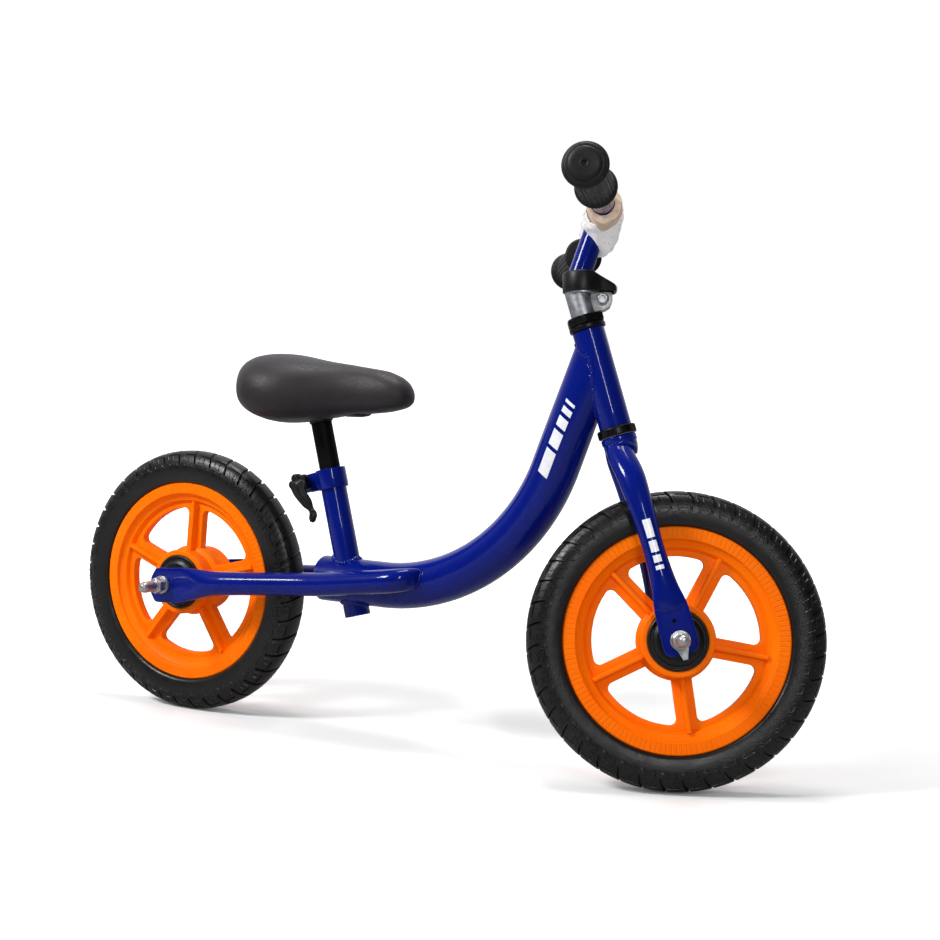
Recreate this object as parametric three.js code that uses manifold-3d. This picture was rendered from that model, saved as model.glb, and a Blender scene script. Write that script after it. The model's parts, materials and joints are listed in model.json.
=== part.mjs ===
// Children's balance bike: a blue steel frame and fork, two foam-tyred plastic wheels, a padded
// saddle and a height-adjustable handlebar. Millimetres; +X forward, +Y the rider's left, +Z up.
// At rest the bars are turned to the rider's left. The whole model is centred on its own
// bounding box, with the floor at z = 0.
import * as THREE from 'three';
import { mergeVertices } from 'three/addons/utils/BufferGeometryUtils.js';
import Module from 'manifold-3d';

const wasm = await Module();
wasm.setup();

// ---- driving dimensions ----------------------------------------------------------------------
const GAP = 0.3; // clearance left between pieces that touch
const radians = THREE.MathUtils.degToRad;

const wheel = { tyreRadius: 144, tyreHalfWidth: 18.7, rimRadius: 109, rimHalfWidth: 15 };
const wheelBase = 580;
const spokes = { count: 5, width: 19.6, ribWidth: 5, inner: 30, outer: 84 };
const hub = { radius: 33, flangeRadius: 35.5, halfWidth: 27, boreRadius: 9.5 };
const bearing = { radius: 13, boreRadius: 5.3, width: 8 };
const axle = { radius: 5, spacerRadius: 8 };
const rearDropout = { inner: 51.5, thickness: 4 };
const forkDropout = { inner: 46, thickness: 4 };

const steering = { tilt: 20, turn: 28.9, axleDrop: 1.2 };
const steerer = { radius: 12.7, bore: 11.6, bottom: 186, top: 347 };
const headTube = { radius: 15.9, bore: 14.4, bottom: 213.5, top: 312.6 };
const stem = { radius: 11.1, bore: 9.3, bottom: 255, bendStart: 343, bendRadius: 50, bendAngle: 37 };
const bar = { radius: 11.1, bore: 9.3, forward: 41.5, height: 412 };
const heightRange = 30; // how far the stem can be drawn out of the steerer
const grip = { inner: 149, outer: 240, radius: 17, flangeRadius: 20.6 };

const mainTube = { radius: 24, wall: 2, height: 163.4, rear: 176, bendRadius: 207, rise: 70.5 };
const bendStartX = 248.8;
const seatTube = { radius: 13.6, bore: 11.5, tilt: 15, x: 198.3, z: 200, bottom: -75.5, top: 83 };
const seatPost = { radius: 11.1, bore: 9.5, bottom: -22, top: 150 };
const collar = { radius: 16.2, bottom: 62, top: 83, earReach: 34, skewerReach: 27.5 };

const colours = {
  blue: { color: 0x10229e, roughness: 0.25, metalness: 0.2 },
  orange: { color: 0xff7a00, roughness: 0.45, metalness: 0 },
  foamBlack: { color: 0x1b1b1c, roughness: 0.85, metalness: 0 },
  plasticBlack: { color: 0x131314, roughness: 0.4, metalness: 0 },
  gripBlack: { color: 0x202022, roughness: 0.75, metalness: 0 },
  paintBlack: { color: 0x0a0a0b, roughness: 0.2, metalness: 0.2 },
  saddleBlack: { color: 0x242224, roughness: 0.7, metalness: 0 },
  zinc: { color: 0xb9bcc0, roughness: 0.35, metalness: 1 },
  steel: { color: 0x9a9da1, roughness: 0.45, metalness: 1 },
  cream: { color: 0xe8d3bf, roughness: 0.9, metalness: 0 },
  white: { color: 0xeeeaea, roughness: 0.8, metalness: 0 },
};

// ---- helpers ---------------------------------------------------------------------------------
function mesh(name, geometry, colour) {
  const part = new THREE.Mesh(geometry, new THREE.MeshStandardMaterial(colours[colour]));
  part.name = name;
  return part;
}

function toSolid(geometry) {
  const bare = geometry.clone();
  bare.deleteAttribute('normal');
  bare.deleteAttribute('uv');
  const merged = mergeVertices(bare, 1e-4);
  return new wasm.Manifold(
    new wasm.Mesh({
      numProp: 3,
      vertProperties: Float32Array.from(merged.attributes.position.array),
      triVerts: Uint32Array.from(merged.index.array),
    }),
  );
}

function fromSolid(solid) {
  const data = solid.getMesh();
  const geometry = new THREE.BufferGeometry();
  geometry.setAttribute('position', new THREE.Float32BufferAttribute(data.vertProperties, 3));
  geometry.setIndex(Array.from(data.triVerts));
  geometry.computeVertexNormals();
  return geometry;
}

const cut = (geometry, ...tools) =>
  fromSolid(tools.reduce((solid, tool) => solid.subtract(toSolid(tool)), toSolid(geometry)));

const join = (first, ...others) =>
  fromSolid(others.reduce((solid, other) => solid.add(toSolid(other)), toSolid(first)));

// A ring turned about the Y axis from a closed profile of [radius, y] pairs.
function turned(profile, segments = 18) {
  const points = profile.map(([r, y]) => new THREE.Vector2(r, y));
  const area = points.reduce((sum, p, i) => sum + p.cross(points[(i + 1) % points.length]), 0);
  if (area < 0) points.reverse();
  points.push(points[0].clone());
  return new THREE.LatheGeometry(points, segments);
}

// The same, turned about the Z axis from [radius, z] pairs.
const turnedZ = (profile, segments) => turned(profile, segments).rotateX(Math.PI / 2);

const tubeZ = (radius, bore, bottom, top, segments = 18) =>
  turnedZ([[bore, bottom], [radius, bottom], [radius, top], [bore, top]], segments);

const rodZ = (radius, bottom, top, segments = 18) =>
  new THREE.CylinderGeometry(radius, radius, top - bottom, segments)
    .rotateX(Math.PI / 2)
    .translate(0, 0, (top + bottom) / 2);

const rodY = (radius, from, to, segments = 18) =>
  new THREE.CylinderGeometry(radius, radius, to - from, segments).translate(0, (from + to) / 2, 0);

const box = (x0, x1, y0, y1, z0, z1) =>
  new THREE.BoxGeometry(x1 - x0, y1 - y0, z1 - z0)
    .translate((x0 + x1) / 2, (y0 + y1) / 2, (z0 + z1) / 2);

// A closed skin through oval sections. Each section gives its centre and two half-axis vectors.
function loft(rows, sides = 14) {
  const travel = rows[1].centre.clone().sub(rows[0].centre);
  const facesBack = rows[0].across.clone().cross(rows[0].up).dot(travel) < 0;
  const sections = facesBack ? [...rows].reverse() : rows;
  const positions = [];
  const indices = [];
  for (const { centre, across, up } of sections) {
    for (let i = 0; i < sides; i += 1) {
      const angle = (2 * Math.PI * i) / sides;
      const point = centre.clone()
        .addScaledVector(across, Math.cos(angle))
        .addScaledVector(up, Math.sin(angle));
      positions.push(point.x, point.y, point.z);
    }
  }
  for (let row = 0; row + 1 < sections.length; row += 1) {
    for (let i = 0; i < sides; i += 1) {
      const a = row * sides + i;
      const b = row * sides + ((i + 1) % sides);
      indices.push(a, b, b + sides, a, b + sides, a + sides);
    }
  }
  const last = (sections.length - 1) * sides;
  for (let i = 1; i + 1 < sides; i += 1) {
    indices.push(0, i + 1, i, last, last + i, last + i + 1);
  }
  const geometry = new THREE.BufferGeometry();
  geometry.setAttribute('position', new THREE.Float32BufferAttribute(positions, 3));
  geometry.setIndex(indices);
  geometry.computeVertexNormals();
  return geometry;
}

const vec = (x, y, z) => new THREE.Vector3(x, y, z);

// A bent tube, or with no bore a rod, through points that lie in the plane with this normal.
function bent(points, normal, radius, bore = 0, sides = 14) {
  const tangents = points.map((point, i) => {
    const before = points[Math.max(i - 1, 0)];
    const after = points[Math.min(i + 1, points.length - 1)];
    return after.clone().sub(before).normalize();
  });
  const skin = (size, overrun) => loft(points.map((point, i) => {
    const end = i === 0 ? -1 : Number(i === points.length - 1);
    return {
      centre: point.clone().addScaledVector(tangents[i], overrun * end),
      across: normal.clone().multiplyScalar(size),
      up: normal.clone().cross(tangents[i]).multiplyScalar(size),
    };
  }), sides);
  return bore ? cut(skin(radius, 0), skin(bore, 5)) : skin(radius, 0);
}

function mirrorY(geometry) {
  const solid = toSolid(geometry).mirror([0, 1, 0]);
  return fromSolid(solid);
}

// ---- wheels ----------------------------------------------------------------------------------
function tyreGeometry() {
  const { tyreRadius, tyreHalfWidth, rimRadius, rimHalfWidth } = wheel;
  const depth = 24.3;
  const half = [[rimRadius + GAP, rimHalfWidth]];
  for (const angle of [90, 58, 30]) {
    const turn = radians(angle);
    half.push([tyreRadius - depth * (1 - Math.cos(turn)), tyreHalfWidth * Math.sin(turn)]);
  }
  half.push([tyreRadius, 3]);
  const mirrored = [...half].reverse().map(([radius, y]) => [radius, -y]);
  return turned([...half, ...mirrored], 48);
}

function rimGeometry(spokePhase) {
  const { rimRadius: r, rimHalfWidth: w } = wheel;
  const ring = turned(
    [[81, -8], [88, -8], [90, -w], [r, -w], [r, w], [90, w], [88, 8], [81, 8]], 30);
  const seat = hub.halfWidth - bearing.width - 1;
  const bearingBore = bearing.radius + GAP;
  const barrel = turned([
    [bearingBore, -hub.halfWidth], [hub.flangeRadius, -hub.halfWidth], [hub.radius, -18],
    [hub.radius, 18], [hub.flangeRadius, hub.halfWidth], [bearingBore, hub.halfWidth],
    [bearingBore, seat], [hub.boreRadius, seat], [hub.boreRadius, -seat], [bearingBore, -seat],
  ], 20);
  const arms = [];
  for (let i = 0; i < spokes.count; i += 1) {
    const angle = radians(spokePhase + (360 / spokes.count) * i);
    const web = box(spokes.inner, spokes.outer, -5, 5, -spokes.width / 2, spokes.width / 2);
    const rib = box(spokes.inner, spokes.outer, -9, 9, -spokes.ribWidth / 2, spokes.ribWidth / 2);
    arms.push(web.rotateY(-angle), rib.rotateY(-angle));
  }
  return join(ring, barrel, ...arms);
}

const hubCapGeometry = () => {
  const face = hub.halfWidth + GAP;
  return turned([[9, face], [29.3, face], [29.3, face + 1.5], [22, face + 5], [9, face + 6]], 18);
};

const bearingGeometry = () => {
  const face = hub.halfWidth - 0.5;
  const { radius, boreRadius, width } = bearing;
  return turned([[boreRadius, face - width], [radius, face - width], [radius, face],
    [boreRadius, face]], 20);
};

const spacerGeometry = (dropout) => {
  const bore = axle.radius + GAP;
  const from = hub.halfWidth - 0.5 + GAP;
  const to = dropout.inner - GAP;
  return turned([[bore, from], [axle.spacerRadius, from], [axle.spacerRadius, to], [bore, to]], 16);
};

// A hexagonal nut with a long domed cap over the axle's end.
function capNutGeometry(dropout) {
  const from = dropout.inner + dropout.thickness + 2.2 + GAP;
  const hexagon = turned([[0, from], [8.6, from], [8.6, from + 12], [6, from + 15], [0, from + 15]], 6);
  const cap = turned([[0, from + 14], [6, from + 14], [6, from + 28], [3.5, from + 33],
    [0, from + 34]], 16);
  return cut(join(hexagon, cap), rodY(axle.radius + GAP, from - 5, from + 26, 16));
}

function washerGeometry(dropout, radius) {
  const from = dropout.inner + dropout.thickness + GAP;
  const bore = axle.radius + GAP;
  return turned([[bore, from], [radius, from], [radius, from + 1.9], [bore, from + 1.9]], 20);
}

// The fork's washers have a tail that hooks over the end of the blade.
function tabWasherGeometry(dropout) {
  const from = dropout.inner + dropout.thickness + GAP;
  const tail = box(-3.5, 3.5, from, from + 1.9, -17, -6);
  return cut(join(washerGeometry(dropout, 9.4), tail), rodY(axle.radius + GAP, 0, from + 5, 20));
}

function wheelPieces(name, dropout, washer, spokePhase) {
  const reach = dropout.inner + dropout.thickness + 22;
  const rod = rodY(axle.radius, -reach, reach, 16);
  const turning = [
    mesh(`${name}_rim`, rimGeometry(spokePhase), 'orange'),
    mesh(`${name}_tyre`, tyreGeometry().rotateY(Math.PI / 48), 'foamBlack'),
  ];
  const fixed = [mesh(`${name}_axle`, rod, 'steel')];
  for (const [side, place] of [['left', (g) => g], ['right', mirrorY]]) {
    turning.push(
      mesh(`${name}_${side}_hub_cap`, place(hubCapGeometry()), 'plasticBlack'),
      mesh(`${name}_${side}_bearing`, place(bearingGeometry()), 'steel'),
    );
    fixed.push(
      mesh(`${name}_${side}_spacer`, place(spacerGeometry(dropout)), 'zinc'),
      mesh(`${name}_${side}_washer`, place(washer()), 'zinc'),
      mesh(`${name}_${side}_nut`, place(capNutGeometry(dropout)), 'zinc'),
    );
  }
  return [...turning, ...fixed];
}

// ---- frame -----------------------------------------------------------------------------------
// Places a piece modelled along Z onto the seat tube's axis.
const onSeatAxis = (geometry) =>
  geometry.rotateY(radians(-seatTube.tilt)).translate(seatTube.x, 0, seatTube.z);

// Places a piece modelled along Z onto the steering axis, which starts at the front axle.
const onSteeringAxis = (geometry) =>
  geometry.rotateY(radians(-steering.tilt)).translate(wheelBase, 0, frontAxleHeight);

const frontAxleHeight = wheel.tyreRadius - steering.axleDrop;

function mainTubePoints() {
  const { height, rear, bendRadius, rise } = mainTube;
  const points = [vec(rear, 0, height), vec(bendStartX, 0, height)];
  const pieces = 8;
  for (let i = 1; i <= pieces; i += 1) {
    const angle = radians((rise * i) / pieces);
    points.push(vec(
      bendStartX + bendRadius * Math.sin(angle), 0, height + bendRadius * (1 - Math.cos(angle))));
  }
  const forward = vec(Math.cos(radians(rise)), 0, Math.sin(radians(rise)));
  const last = points[points.length - 1];
  for (const length of [60, 105, 160]) points.push(last.clone().addScaledVector(forward, length));
  return points;
}

const mainTubeRod = (radius, bore) => bent(mainTubePoints(), vec(0, 1, 0), radius, bore, 18);

// The tube is squeezed from round to the head tube's width where it meets it.
function squeeze(geometry) {
  const position = geometry.attributes.position;
  for (let i = 0; i < position.count; i += 1) {
    const near = THREE.MathUtils.smoothstep(position.getZ(i), 310, 430);
    position.setY(i, position.getY(i) * (1 - 0.36 * near));
  }
  return geometry;
}

function mainTubeGeometry() {
  const tube = squeeze(mainTubeRod(mainTube.radius, mainTube.radius - mainTube.wall));
  const aheadOfHead = onSteeringAxis(box(0, 200, -60, 60, 100, 500));
  const aboveHead = onSteeringAxis(box(-200, 200, -60, 60, headTube.top, 600));
  const headHole = onSteeringAxis(rodZ(headTube.radius + GAP, 100, 500));
  const seatHole = onSeatAxis(rodZ(seatTube.radius + GAP, -100, 100));
  return cut(tube, headHole, aheadOfHead, aboveHead, seatHole);
}

const mainTubeCapGeometry = () =>
  turned([[0, 0], [mainTube.radius, 0], [mainTube.radius, 1.5], [mainTube.radius - 3, 4], [0, 4.5]], 24)
    .rotateZ(Math.PI / 2)
    .translate(mainTube.rear - GAP, 0, mainTube.height);

const headTubeGeometry = () =>
  onSteeringAxis(tubeZ(headTube.radius, headTube.bore, headTube.bottom, headTube.top));

const seatTubeGeometry = () =>
  onSeatAxis(tubeZ(seatTube.radius, seatTube.bore, seatTube.bottom, seatTube.top));

// Sections of the right chainstay, from the flattened dropout forward to the main tube:
// [x, distance from the mid-plane, height, half thickness, half height].
const staySections = [
  [-15.5, 53.5, 141.5, 2, 11],
  [-9, 53.5, 142.5, 2, 18],
  [30, 53.5, 146, 2, 19],
  [42, 52.2, 148, 6, 16.6],
  [56, 50.6, 149.8, 10, 14.2],
  [74, 48.6, 151.7, 12, 13],
  [110, 44.2, 154.7, 12.5, 12.5],
  [165, 38.6, 159.2, 12.5, 12.5],
  [195, 37.2, 162, 12.5, 12.5],
  [250, 37.2, 169.5, 12.5, 12.5],
  [276, 36.2, 173.2, 12.5, 12.5],
  [292, 32.5, 176, 12.3, 12],
  [304, 26, 178, 11, 10.5],
  [314, 18, 179.5, 8, 7.5],
  [320, 12, 180.5, 6, 5.5],
];

function staySkin(rows, wall) {
  return loft(rows.map(([x, y, z, thick, high]) => ({
    centre: vec(x, y, z),
    across: vec(0, thick - wall, 0),
    up: vec(0, 0, high - wall),
  })));
}

function chainstayGeometry() {
  const hollow = staySections.slice(4);
  const [x, y, z, thick, high] = hollow[hollow.length - 1];
  hollow.push([x + 5, y, z, thick, high]);
  const axleHole = rodY(axle.radius + GAP, 40, 70, 16).translate(0, 0, wheel.tyreRadius);
  const plate = box(-40, 36, rearDropout.inner - 20, rearDropout.inner, 100, 180);
  const outside = box(
    -40, 34, rearDropout.inner + rearDropout.thickness, rearDropout.inner + 30, 100, 180);
  const mainTubeRoom = mainTubeRod(mainTube.radius + GAP);
  return cut(staySkin(staySections, 0), staySkin(hollow, 2), axleHole, plate, outside, mainTubeRoom);
}

// ---- seat ------------------------------------------------------------------------------------
const earSlot = () => box(-50, 0, -1.5, 1.5, collar.bottom - 10, collar.top + 10);

function seatCollarGeometry() {
  const ring = tubeZ(collar.radius, seatTube.radius + GAP, collar.bottom, collar.top);
  const middle = (collar.bottom + collar.top) / 2;
  const ears = box(-collar.earReach, -collar.radius + 3, -7, 7, middle - 8, middle + 8);
  const skewerHole = rodY(2.8, -20, 20, 12).translate(-collar.skewerReach, 0, middle);
  const bore = rodZ(seatTube.radius + GAP, 0, 200);
  return onSeatAxis(cut(join(ring, ears), earSlot(), skewerHole, bore));
}

const atSkewer = (geometry) =>
  onSeatAxis(geometry.translate(-collar.skewerReach, 0, (collar.bottom + collar.top) / 2));

const skewerGeometry = () => atSkewer(rodY(2.5, -15, 12.5, 12));

const skewerNutGeometry = () => atSkewer(turned([[2.8, 7.3], [7, 7.3], [5.5, 14.5], [2.8, 14.5]], 16));

// The cam lever: a barrel across the skewer's end and an arm that hangs down beside the collar.
function seatLeverGeometry() {
  const barrel = new THREE.CylinderGeometry(7, 7, 15, 16).rotateZ(Math.PI / 2).translate(0, -15, 0);
  const arm = loft([
    { centre: vec(-2, -19, 2), across: vec(6.5, 0, 0), up: vec(0, 3.5, 0) },
    { centre: vec(-1, -21, -8), across: vec(6, 0, 0), up: vec(0, 3, 0) },
    { centre: vec(3, -19, -20), across: vec(4.5, 0, 0), up: vec(0, 2.4, 0) },
    { centre: vec(5.5, -16.5, -28), across: vec(2.6, 0, 0), up: vec(0, 2.2, 0) },
    { centre: vec(6, -16, -34), across: vec(4.4, 0, 0), up: vec(0, 3, 0) },
    { centre: vec(6.5, -16, -41), across: vec(3, 0, 0), up: vec(0, 2.2, 0) },
  ], 12);
  const slot = box(-3, 3, -18, 0, -3, 10);
  return atSkewer(cut(join(barrel, arm), slot));
}

const seatPostGeometry = () =>
  onSeatAxis(tubeZ(seatPost.radius, seatPost.bore, seatPost.bottom, seatPost.top));

// Saddle sections from the tail to the nose: [x, half width, underside, top].
const saddleSections = [
  [70, 14, 348, 378],
  [76, 34, 340, 388],
  [88, 52, 333, 395],
  [106, 64, 329, 398],
  [128, 67, 328, 397.5],
  [150, 61, 331, 395],
  [172, 47, 336, 392.5],
  [196, 34, 341, 390.5],
  [222, 27, 345, 388.5],
  [248, 24, 347, 386],
  [266, 20, 348.5, 379],
  [276, 12, 351, 368],
];

// The skin of the saddle or of its pan, made larger all round by grow.
function saddleSkin(rows, inset, grow) {
  return loft(rows.map(([x, half, under, top], i) => {
    const end = i === 0 ? -1 : Number(i === rows.length - 1);
    return {
      centre: vec(x + grow * end, 0, (under + top) / 2),
      across: vec(0, half - inset + grow, 0),
      up: vec(0, 0, (top - under) / 2 + grow),
    };
  }), 20);
}

const panRows = saddleSections.slice(2, 11)
  .map(([x, half, under]) => [x, half, under - 1, under + 13]);

const postRoom = () => onSeatAxis(rodZ(seatPost.radius + GAP, 0, seatPost.top + GAP));

function saddlePadGeometry() {
  const room = saddleSkin(panRows, 9, 2 * GAP);
  return cut(saddleSkin(saddleSections, 0, 0), room, postRoom());
}

function saddlePanGeometry() {
  const noseBlock = box(186, 224, -13, 13, 338, 350);
  return cut(join(saddleSkin(panRows, 9, 0), noseBlock), postRoom());
}

// ---- steering: modelled with the steering axis along Z and the front axle at the origin --------
function stemRod(radius, bore = 0, rise = 0) {
  const { bottom, bendStart, bendRadius, bendAngle } = stem;
  const points = [vec(0, 0, bottom + rise)];
  const pieces = 5;
  for (let i = 0; i <= pieces; i += 1) {
    const angle = radians((bendAngle * i) / pieces);
    points.push(vec(
      bendRadius * (1 - Math.cos(angle)), 0, bendStart + bendRadius * Math.sin(angle) + rise));
  }
  points.push(vec(bar.forward, 0, bar.height + rise));
  return bent(points, vec(0, 1, 0), radius, bore);
}

// The bar is straight in the middle and sweeps back and up to the grips:
// [distance from the middle, back, up].
const sweepPoints = [[45, 0, 0], [80, 2.8, 0.5], [143, 11.2, 1.4], [grip.outer - 5, 25.3, 5]];

function barRod(radius, bore = 0) {
  const half = (side) => sweepPoints.map(
    ([y, back, up]) => vec(bar.forward - back, side * y, bar.height + up));
  return bent([...half(-1).reverse(), ...half(1)], vec(0, 0, 1), radius, bore);
}

const stemGeometry = () => cut(stemRod(stem.radius, stem.bore), barRod(bar.radius + GAP));

// A grip: ribbed sleeve, wider at both ends, closed at the outer end.
function gripGeometry() {
  const { inner, outer, radius, flangeRadius } = grip;
  const bore = bar.radius + GAP;
  const profile = [[bore, 0], [19, 0], [19, 4], [radius, 6], [radius, 80], [flangeRadius, 82],
    [flangeRadius, 88], [15, 91.5], [0, 91.5], [0, 89], [bore, 89]];
  const points = profile.map(([r, y]) => new THREE.Vector2(r, y));
  points.push(points[0].clone());
  const sweep = Math.atan2(14.1, 92);
  const lift = Math.atan2(3.6, 93.1);
  return new THREE.LatheGeometry(points, 18)
    .rotateX(lift)
    .rotateZ(sweep)
    .translate(bar.forward - 12.1, inner, bar.height + 1.5);
}

function barFoamGeometry() {
  const points = [[-86, 3.6], [-45, 0], [45, 0], [70, 2]].map(
    ([y, back]) => vec(bar.forward - back, y, bar.height));
  return cut(bent(points, vec(0, 0, 1), 16.8, bar.radius + 1), stemRod(stem.radius + 1));
}

// The wrap: a loose band over the foam, with a hole for the stem.
function barWrapGeometry() {
  const band = rodY(21, -52, 62, 20).translate(bar.forward, 0, bar.height);
  const room = rodY(18.6, -60, 75, 20).translate(bar.forward, 0, bar.height);
  return cut(band, room, stemRod(stem.radius + 1));
}

// Sections of the left fork blade: [distance along the axis, from the mid-plane, forward offset,
// half width fore and aft, half thickness].
const bladeSections = [
  [198, 6, -4, 12, 9],
  [186, 13, -3.6, 12.8, 10.5],
  [174, 21, -2, 13.4, 11.5],
  [158, 28.5, -0.6, 13.2, 11.5],
  [138, 34, -0.3, 12.2, 11],
  [112, 38.5, 0, 10.6, 10.5],
  [86, 41.5, 0, 10.3, 10.3],
  [60, 44, 0, 11.6, 8.5],
  [42, 46, 0, 13.4, 5.5],
  [28, 48, 0, 16, 2],
  [-6, 48, -0.6, 16.8, 2],
  [-13.5, 48, -0.6, 10, 2],
];

function bladeSkin(rows, wall) {
  return loft(rows.map(([along, aside, forward, half, thick]) => ({
    centre: vec(forward, aside, along),
    across: vec(half - wall, 0, 0),
    up: vec(0, thick - wall, 0),
  })));
}

function forkBladeGeometry() {
  const hollow = bladeSections.slice(0, 8);
  const slotHalf = axle.radius + GAP;
  const axleHole = rodY(slotHalf, 40, 60, 16);
  const slot = box(-slotHalf, slotHalf, 40, 60, -30, 0);
  const crownRoom = rodZ(16.8 + GAP, 160, 230);
  const otherSide = box(-60, 60, -60, GAP, 0, 230);
  const inside = box(-40, 40, forkDropout.inner - 20, forkDropout.inner, -40, 34);
  const outside = box(
    -40, 40, forkDropout.inner + forkDropout.thickness, forkDropout.inner + 30, -40, 30);
  return cut(
    bladeSkin(bladeSections, 0), bladeSkin(hollow, 1.8), crownRoom, axleHole, slot,
    otherSide, inside, outside);
}

const forkCrownGeometry = () =>
  turnedZ([[steerer.radius + GAP, 168], [15, 168], [16.8, 172], [16.8, 204], [steerer.radius + GAP, 204]]);

const steererGeometry = () =>
  cut(
    tubeZ(steerer.radius, steerer.bore, steerer.bottom, steerer.top),
    box(5, 20, -1.5, 1.5, 322, 360),
  );

const crownRaceGeometry = () => tubeZ(16.1, steerer.radius + GAP, 204.3, 206.3);

const lowerBearingGeometry = () => tubeZ(16, 13.2, 206.7, 210.6);

const lowerCupGeometry = () =>
  turnedZ([[16.5, 204.8], [19, 204.8], [19, 213], [14, 213], [14, 219], [13.2, 219], [13.2, 211],
    [16.5, 211]]);

const upperCupGeometry = () =>
  turnedZ([[13.2, 307], [14, 307], [14, 313], [18, 313], [18, 317.5], [16.8, 317.5], [16.8, 314.5],
    [13.2, 314.5]]);

const upperBearingGeometry = () => tubeZ(16.4, 13.2, 314.9, 317.6, 20);

const topNutGeometry = () =>
  cut(rodZ(18.6, 318, 327, 6), rodZ(steerer.radius + GAP, 310, 340));

// The stem clamp and its cover sit tilted forward, half way between the steerer and the stem.
const clampTilt = radians(15);
const clampBolt = { x: 21.2, z: 5 };
const onClamp = (geometry) => geometry.rotateY(clampTilt).translate(-1, 0, 338);

// Everything that passes through the clamp, at every height of the bars.
function clampRoom() {
  const room = [rodZ(steerer.radius + GAP, 300, steerer.top + GAP)];
  for (const rise of [0, 8, 16, heightRange]) {
    room.push(stemRod(stem.radius + GAP, 0, rise));
  }
  return room;
}

function stemClampGeometry() {
  const band = rodZ(16.5, 1, 26).translate(2, 0, 0);
  const ears = box(8, 31, -9, 9, -3, 12);
  const split = box(13, 40, -1.5, 1.5, -20, 40);
  const boltHole = rodY(3.3, -20, 20, 12).translate(clampBolt.x, 0, clampBolt.z);
  return cut(onClamp(cut(join(band, ears), split, boltHole)), ...clampRoom());
}

function clampCoverGeometry() {
  const outline = new THREE.Shape();
  outline.absarc(2, 0, 19, Math.PI / 3.6, 2 * Math.PI - Math.PI / 3.6, false);
  outline.lineTo(35, -11.5);
  outline.lineTo(35, 11.5);
  const bandHole = new THREE.Path().absarc(2, 0, 17.2, 0, 2 * Math.PI, true);
  outline.holes.push(bandHole);
  const block = new THREE.ExtrudeGeometry(outline, { depth: 19.5, bevelEnabled: false, curveSegments: 8 })
    .translate(0, 0, 13);
  const slope = box(0, 60, -40, 40, 0, 40).rotateY(radians(31)).translate(11.7, 0, 32.7);
  return cut(onClamp(cut(block, slope)), ...clampRoom());
}

const clampBoltGeometry = () => {
  const shank = rodY(3, -10, 13, 12);
  const head = rodY(5.5, -15, -9.3, 12);
  return onClamp(join(shank, head).translate(clampBolt.x, 0, clampBolt.z));
};

const clampNutGeometry = () =>
  onClamp(cut(rodY(5.8, 9.3, 14.5, 6), rodY(3.3, 0, 20, 12)).translate(clampBolt.x, 0, clampBolt.z));

function steeringPieces() {
  const leftBlade = forkBladeGeometry();
  return [
    mesh('steerer_tube', steererGeometry(), 'zinc'),
    mesh('fork_crown', forkCrownGeometry(), 'blue'),
    mesh('left_fork_blade', leftBlade, 'blue'),
    mesh('right_fork_blade', mirrorY(leftBlade), 'blue'),
    mesh('crown_race', crownRaceGeometry(), 'paintBlack'),
    mesh('headset_nut', topNutGeometry(), 'paintBlack'),
    mesh('stem_clamp', stemClampGeometry(), 'zinc'),
    mesh('clamp_cover', clampCoverGeometry(), 'plasticBlack'),
    mesh('clamp_bolt', clampBoltGeometry(), 'zinc'),
    mesh('clamp_nut', clampNutGeometry(), 'zinc'),
    mesh('stem_tube', stemGeometry(), 'blue'),
    mesh('handlebar_tube', barRod(bar.radius, bar.bore), 'blue'),
    mesh('left_grip', gripGeometry(), 'gripBlack'),
    mesh('right_grip', mirrorY(gripGeometry()), 'gripBlack'),
    mesh('bar_foam', barFoamGeometry(), 'cream'),
    mesh('bar_wrap', barWrapGeometry(), 'white'),
    ...wheelPieces('front', forkDropout, () => tabWasherGeometry(forkDropout), 46.1),
  ];
}

function headsetPieces() {
  return [
    mesh('lower_headset_cup', onSteeringAxis(lowerCupGeometry()), 'paintBlack'),
    mesh('lower_headset_bearing', onSteeringAxis(lowerBearingGeometry()), 'steel'),
    mesh('upper_headset_cup', onSteeringAxis(upperCupGeometry()), 'paintBlack'),
    mesh('upper_headset_bearing', onSteeringAxis(upperBearingGeometry()), 'steel'),
  ];
}

// ---- assembly --------------------------------------------------------------------------------
const frame = new THREE.Group();
frame.name = 'frame';
const rightStay = mirrorY(chainstayGeometry());
frame.add(
  mesh('main_tube', mainTubeGeometry(), 'blue'),
  mesh('main_tube_cap', mainTubeCapGeometry(), 'blue'),
  mesh('head_tube', headTubeGeometry(), 'blue'),
  mesh('seat_tube', seatTubeGeometry(), 'blue'),
  mesh('left_chainstay', mirrorY(rightStay), 'blue'),
  mesh('right_chainstay', rightStay, 'blue'),
  mesh('seat_collar', seatCollarGeometry(), 'blue'),
  mesh('seat_skewer', skewerGeometry(), 'steel'),
  mesh('skewer_nut', skewerNutGeometry(), 'plasticBlack'),
  mesh('seat_lever', seatLeverGeometry(), 'plasticBlack'),
  mesh('seat_post', seatPostGeometry(), 'paintBlack'),
  mesh('saddle_pan', saddlePanGeometry(), 'plasticBlack'),
  mesh('saddle_pad', saddlePadGeometry(), 'saddleBlack'),
  ...headsetPieces(),
);

const rearWheel = new THREE.Group();
rearWheel.position.z = wheel.tyreRadius;
rearWheel.add(...wheelPieces('rear', rearDropout, () => washerGeometry(rearDropout, 9.4), 86.9));

const turnedFork = new THREE.Group();
turnedFork.rotation.z = radians(steering.turn);
turnedFork.add(...steeringPieces());

const front = new THREE.Group();
front.position.set(wheelBase, 0, frontAxleHeight);
front.rotation.y = radians(-steering.tilt);
front.add(turnedFork);

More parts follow.
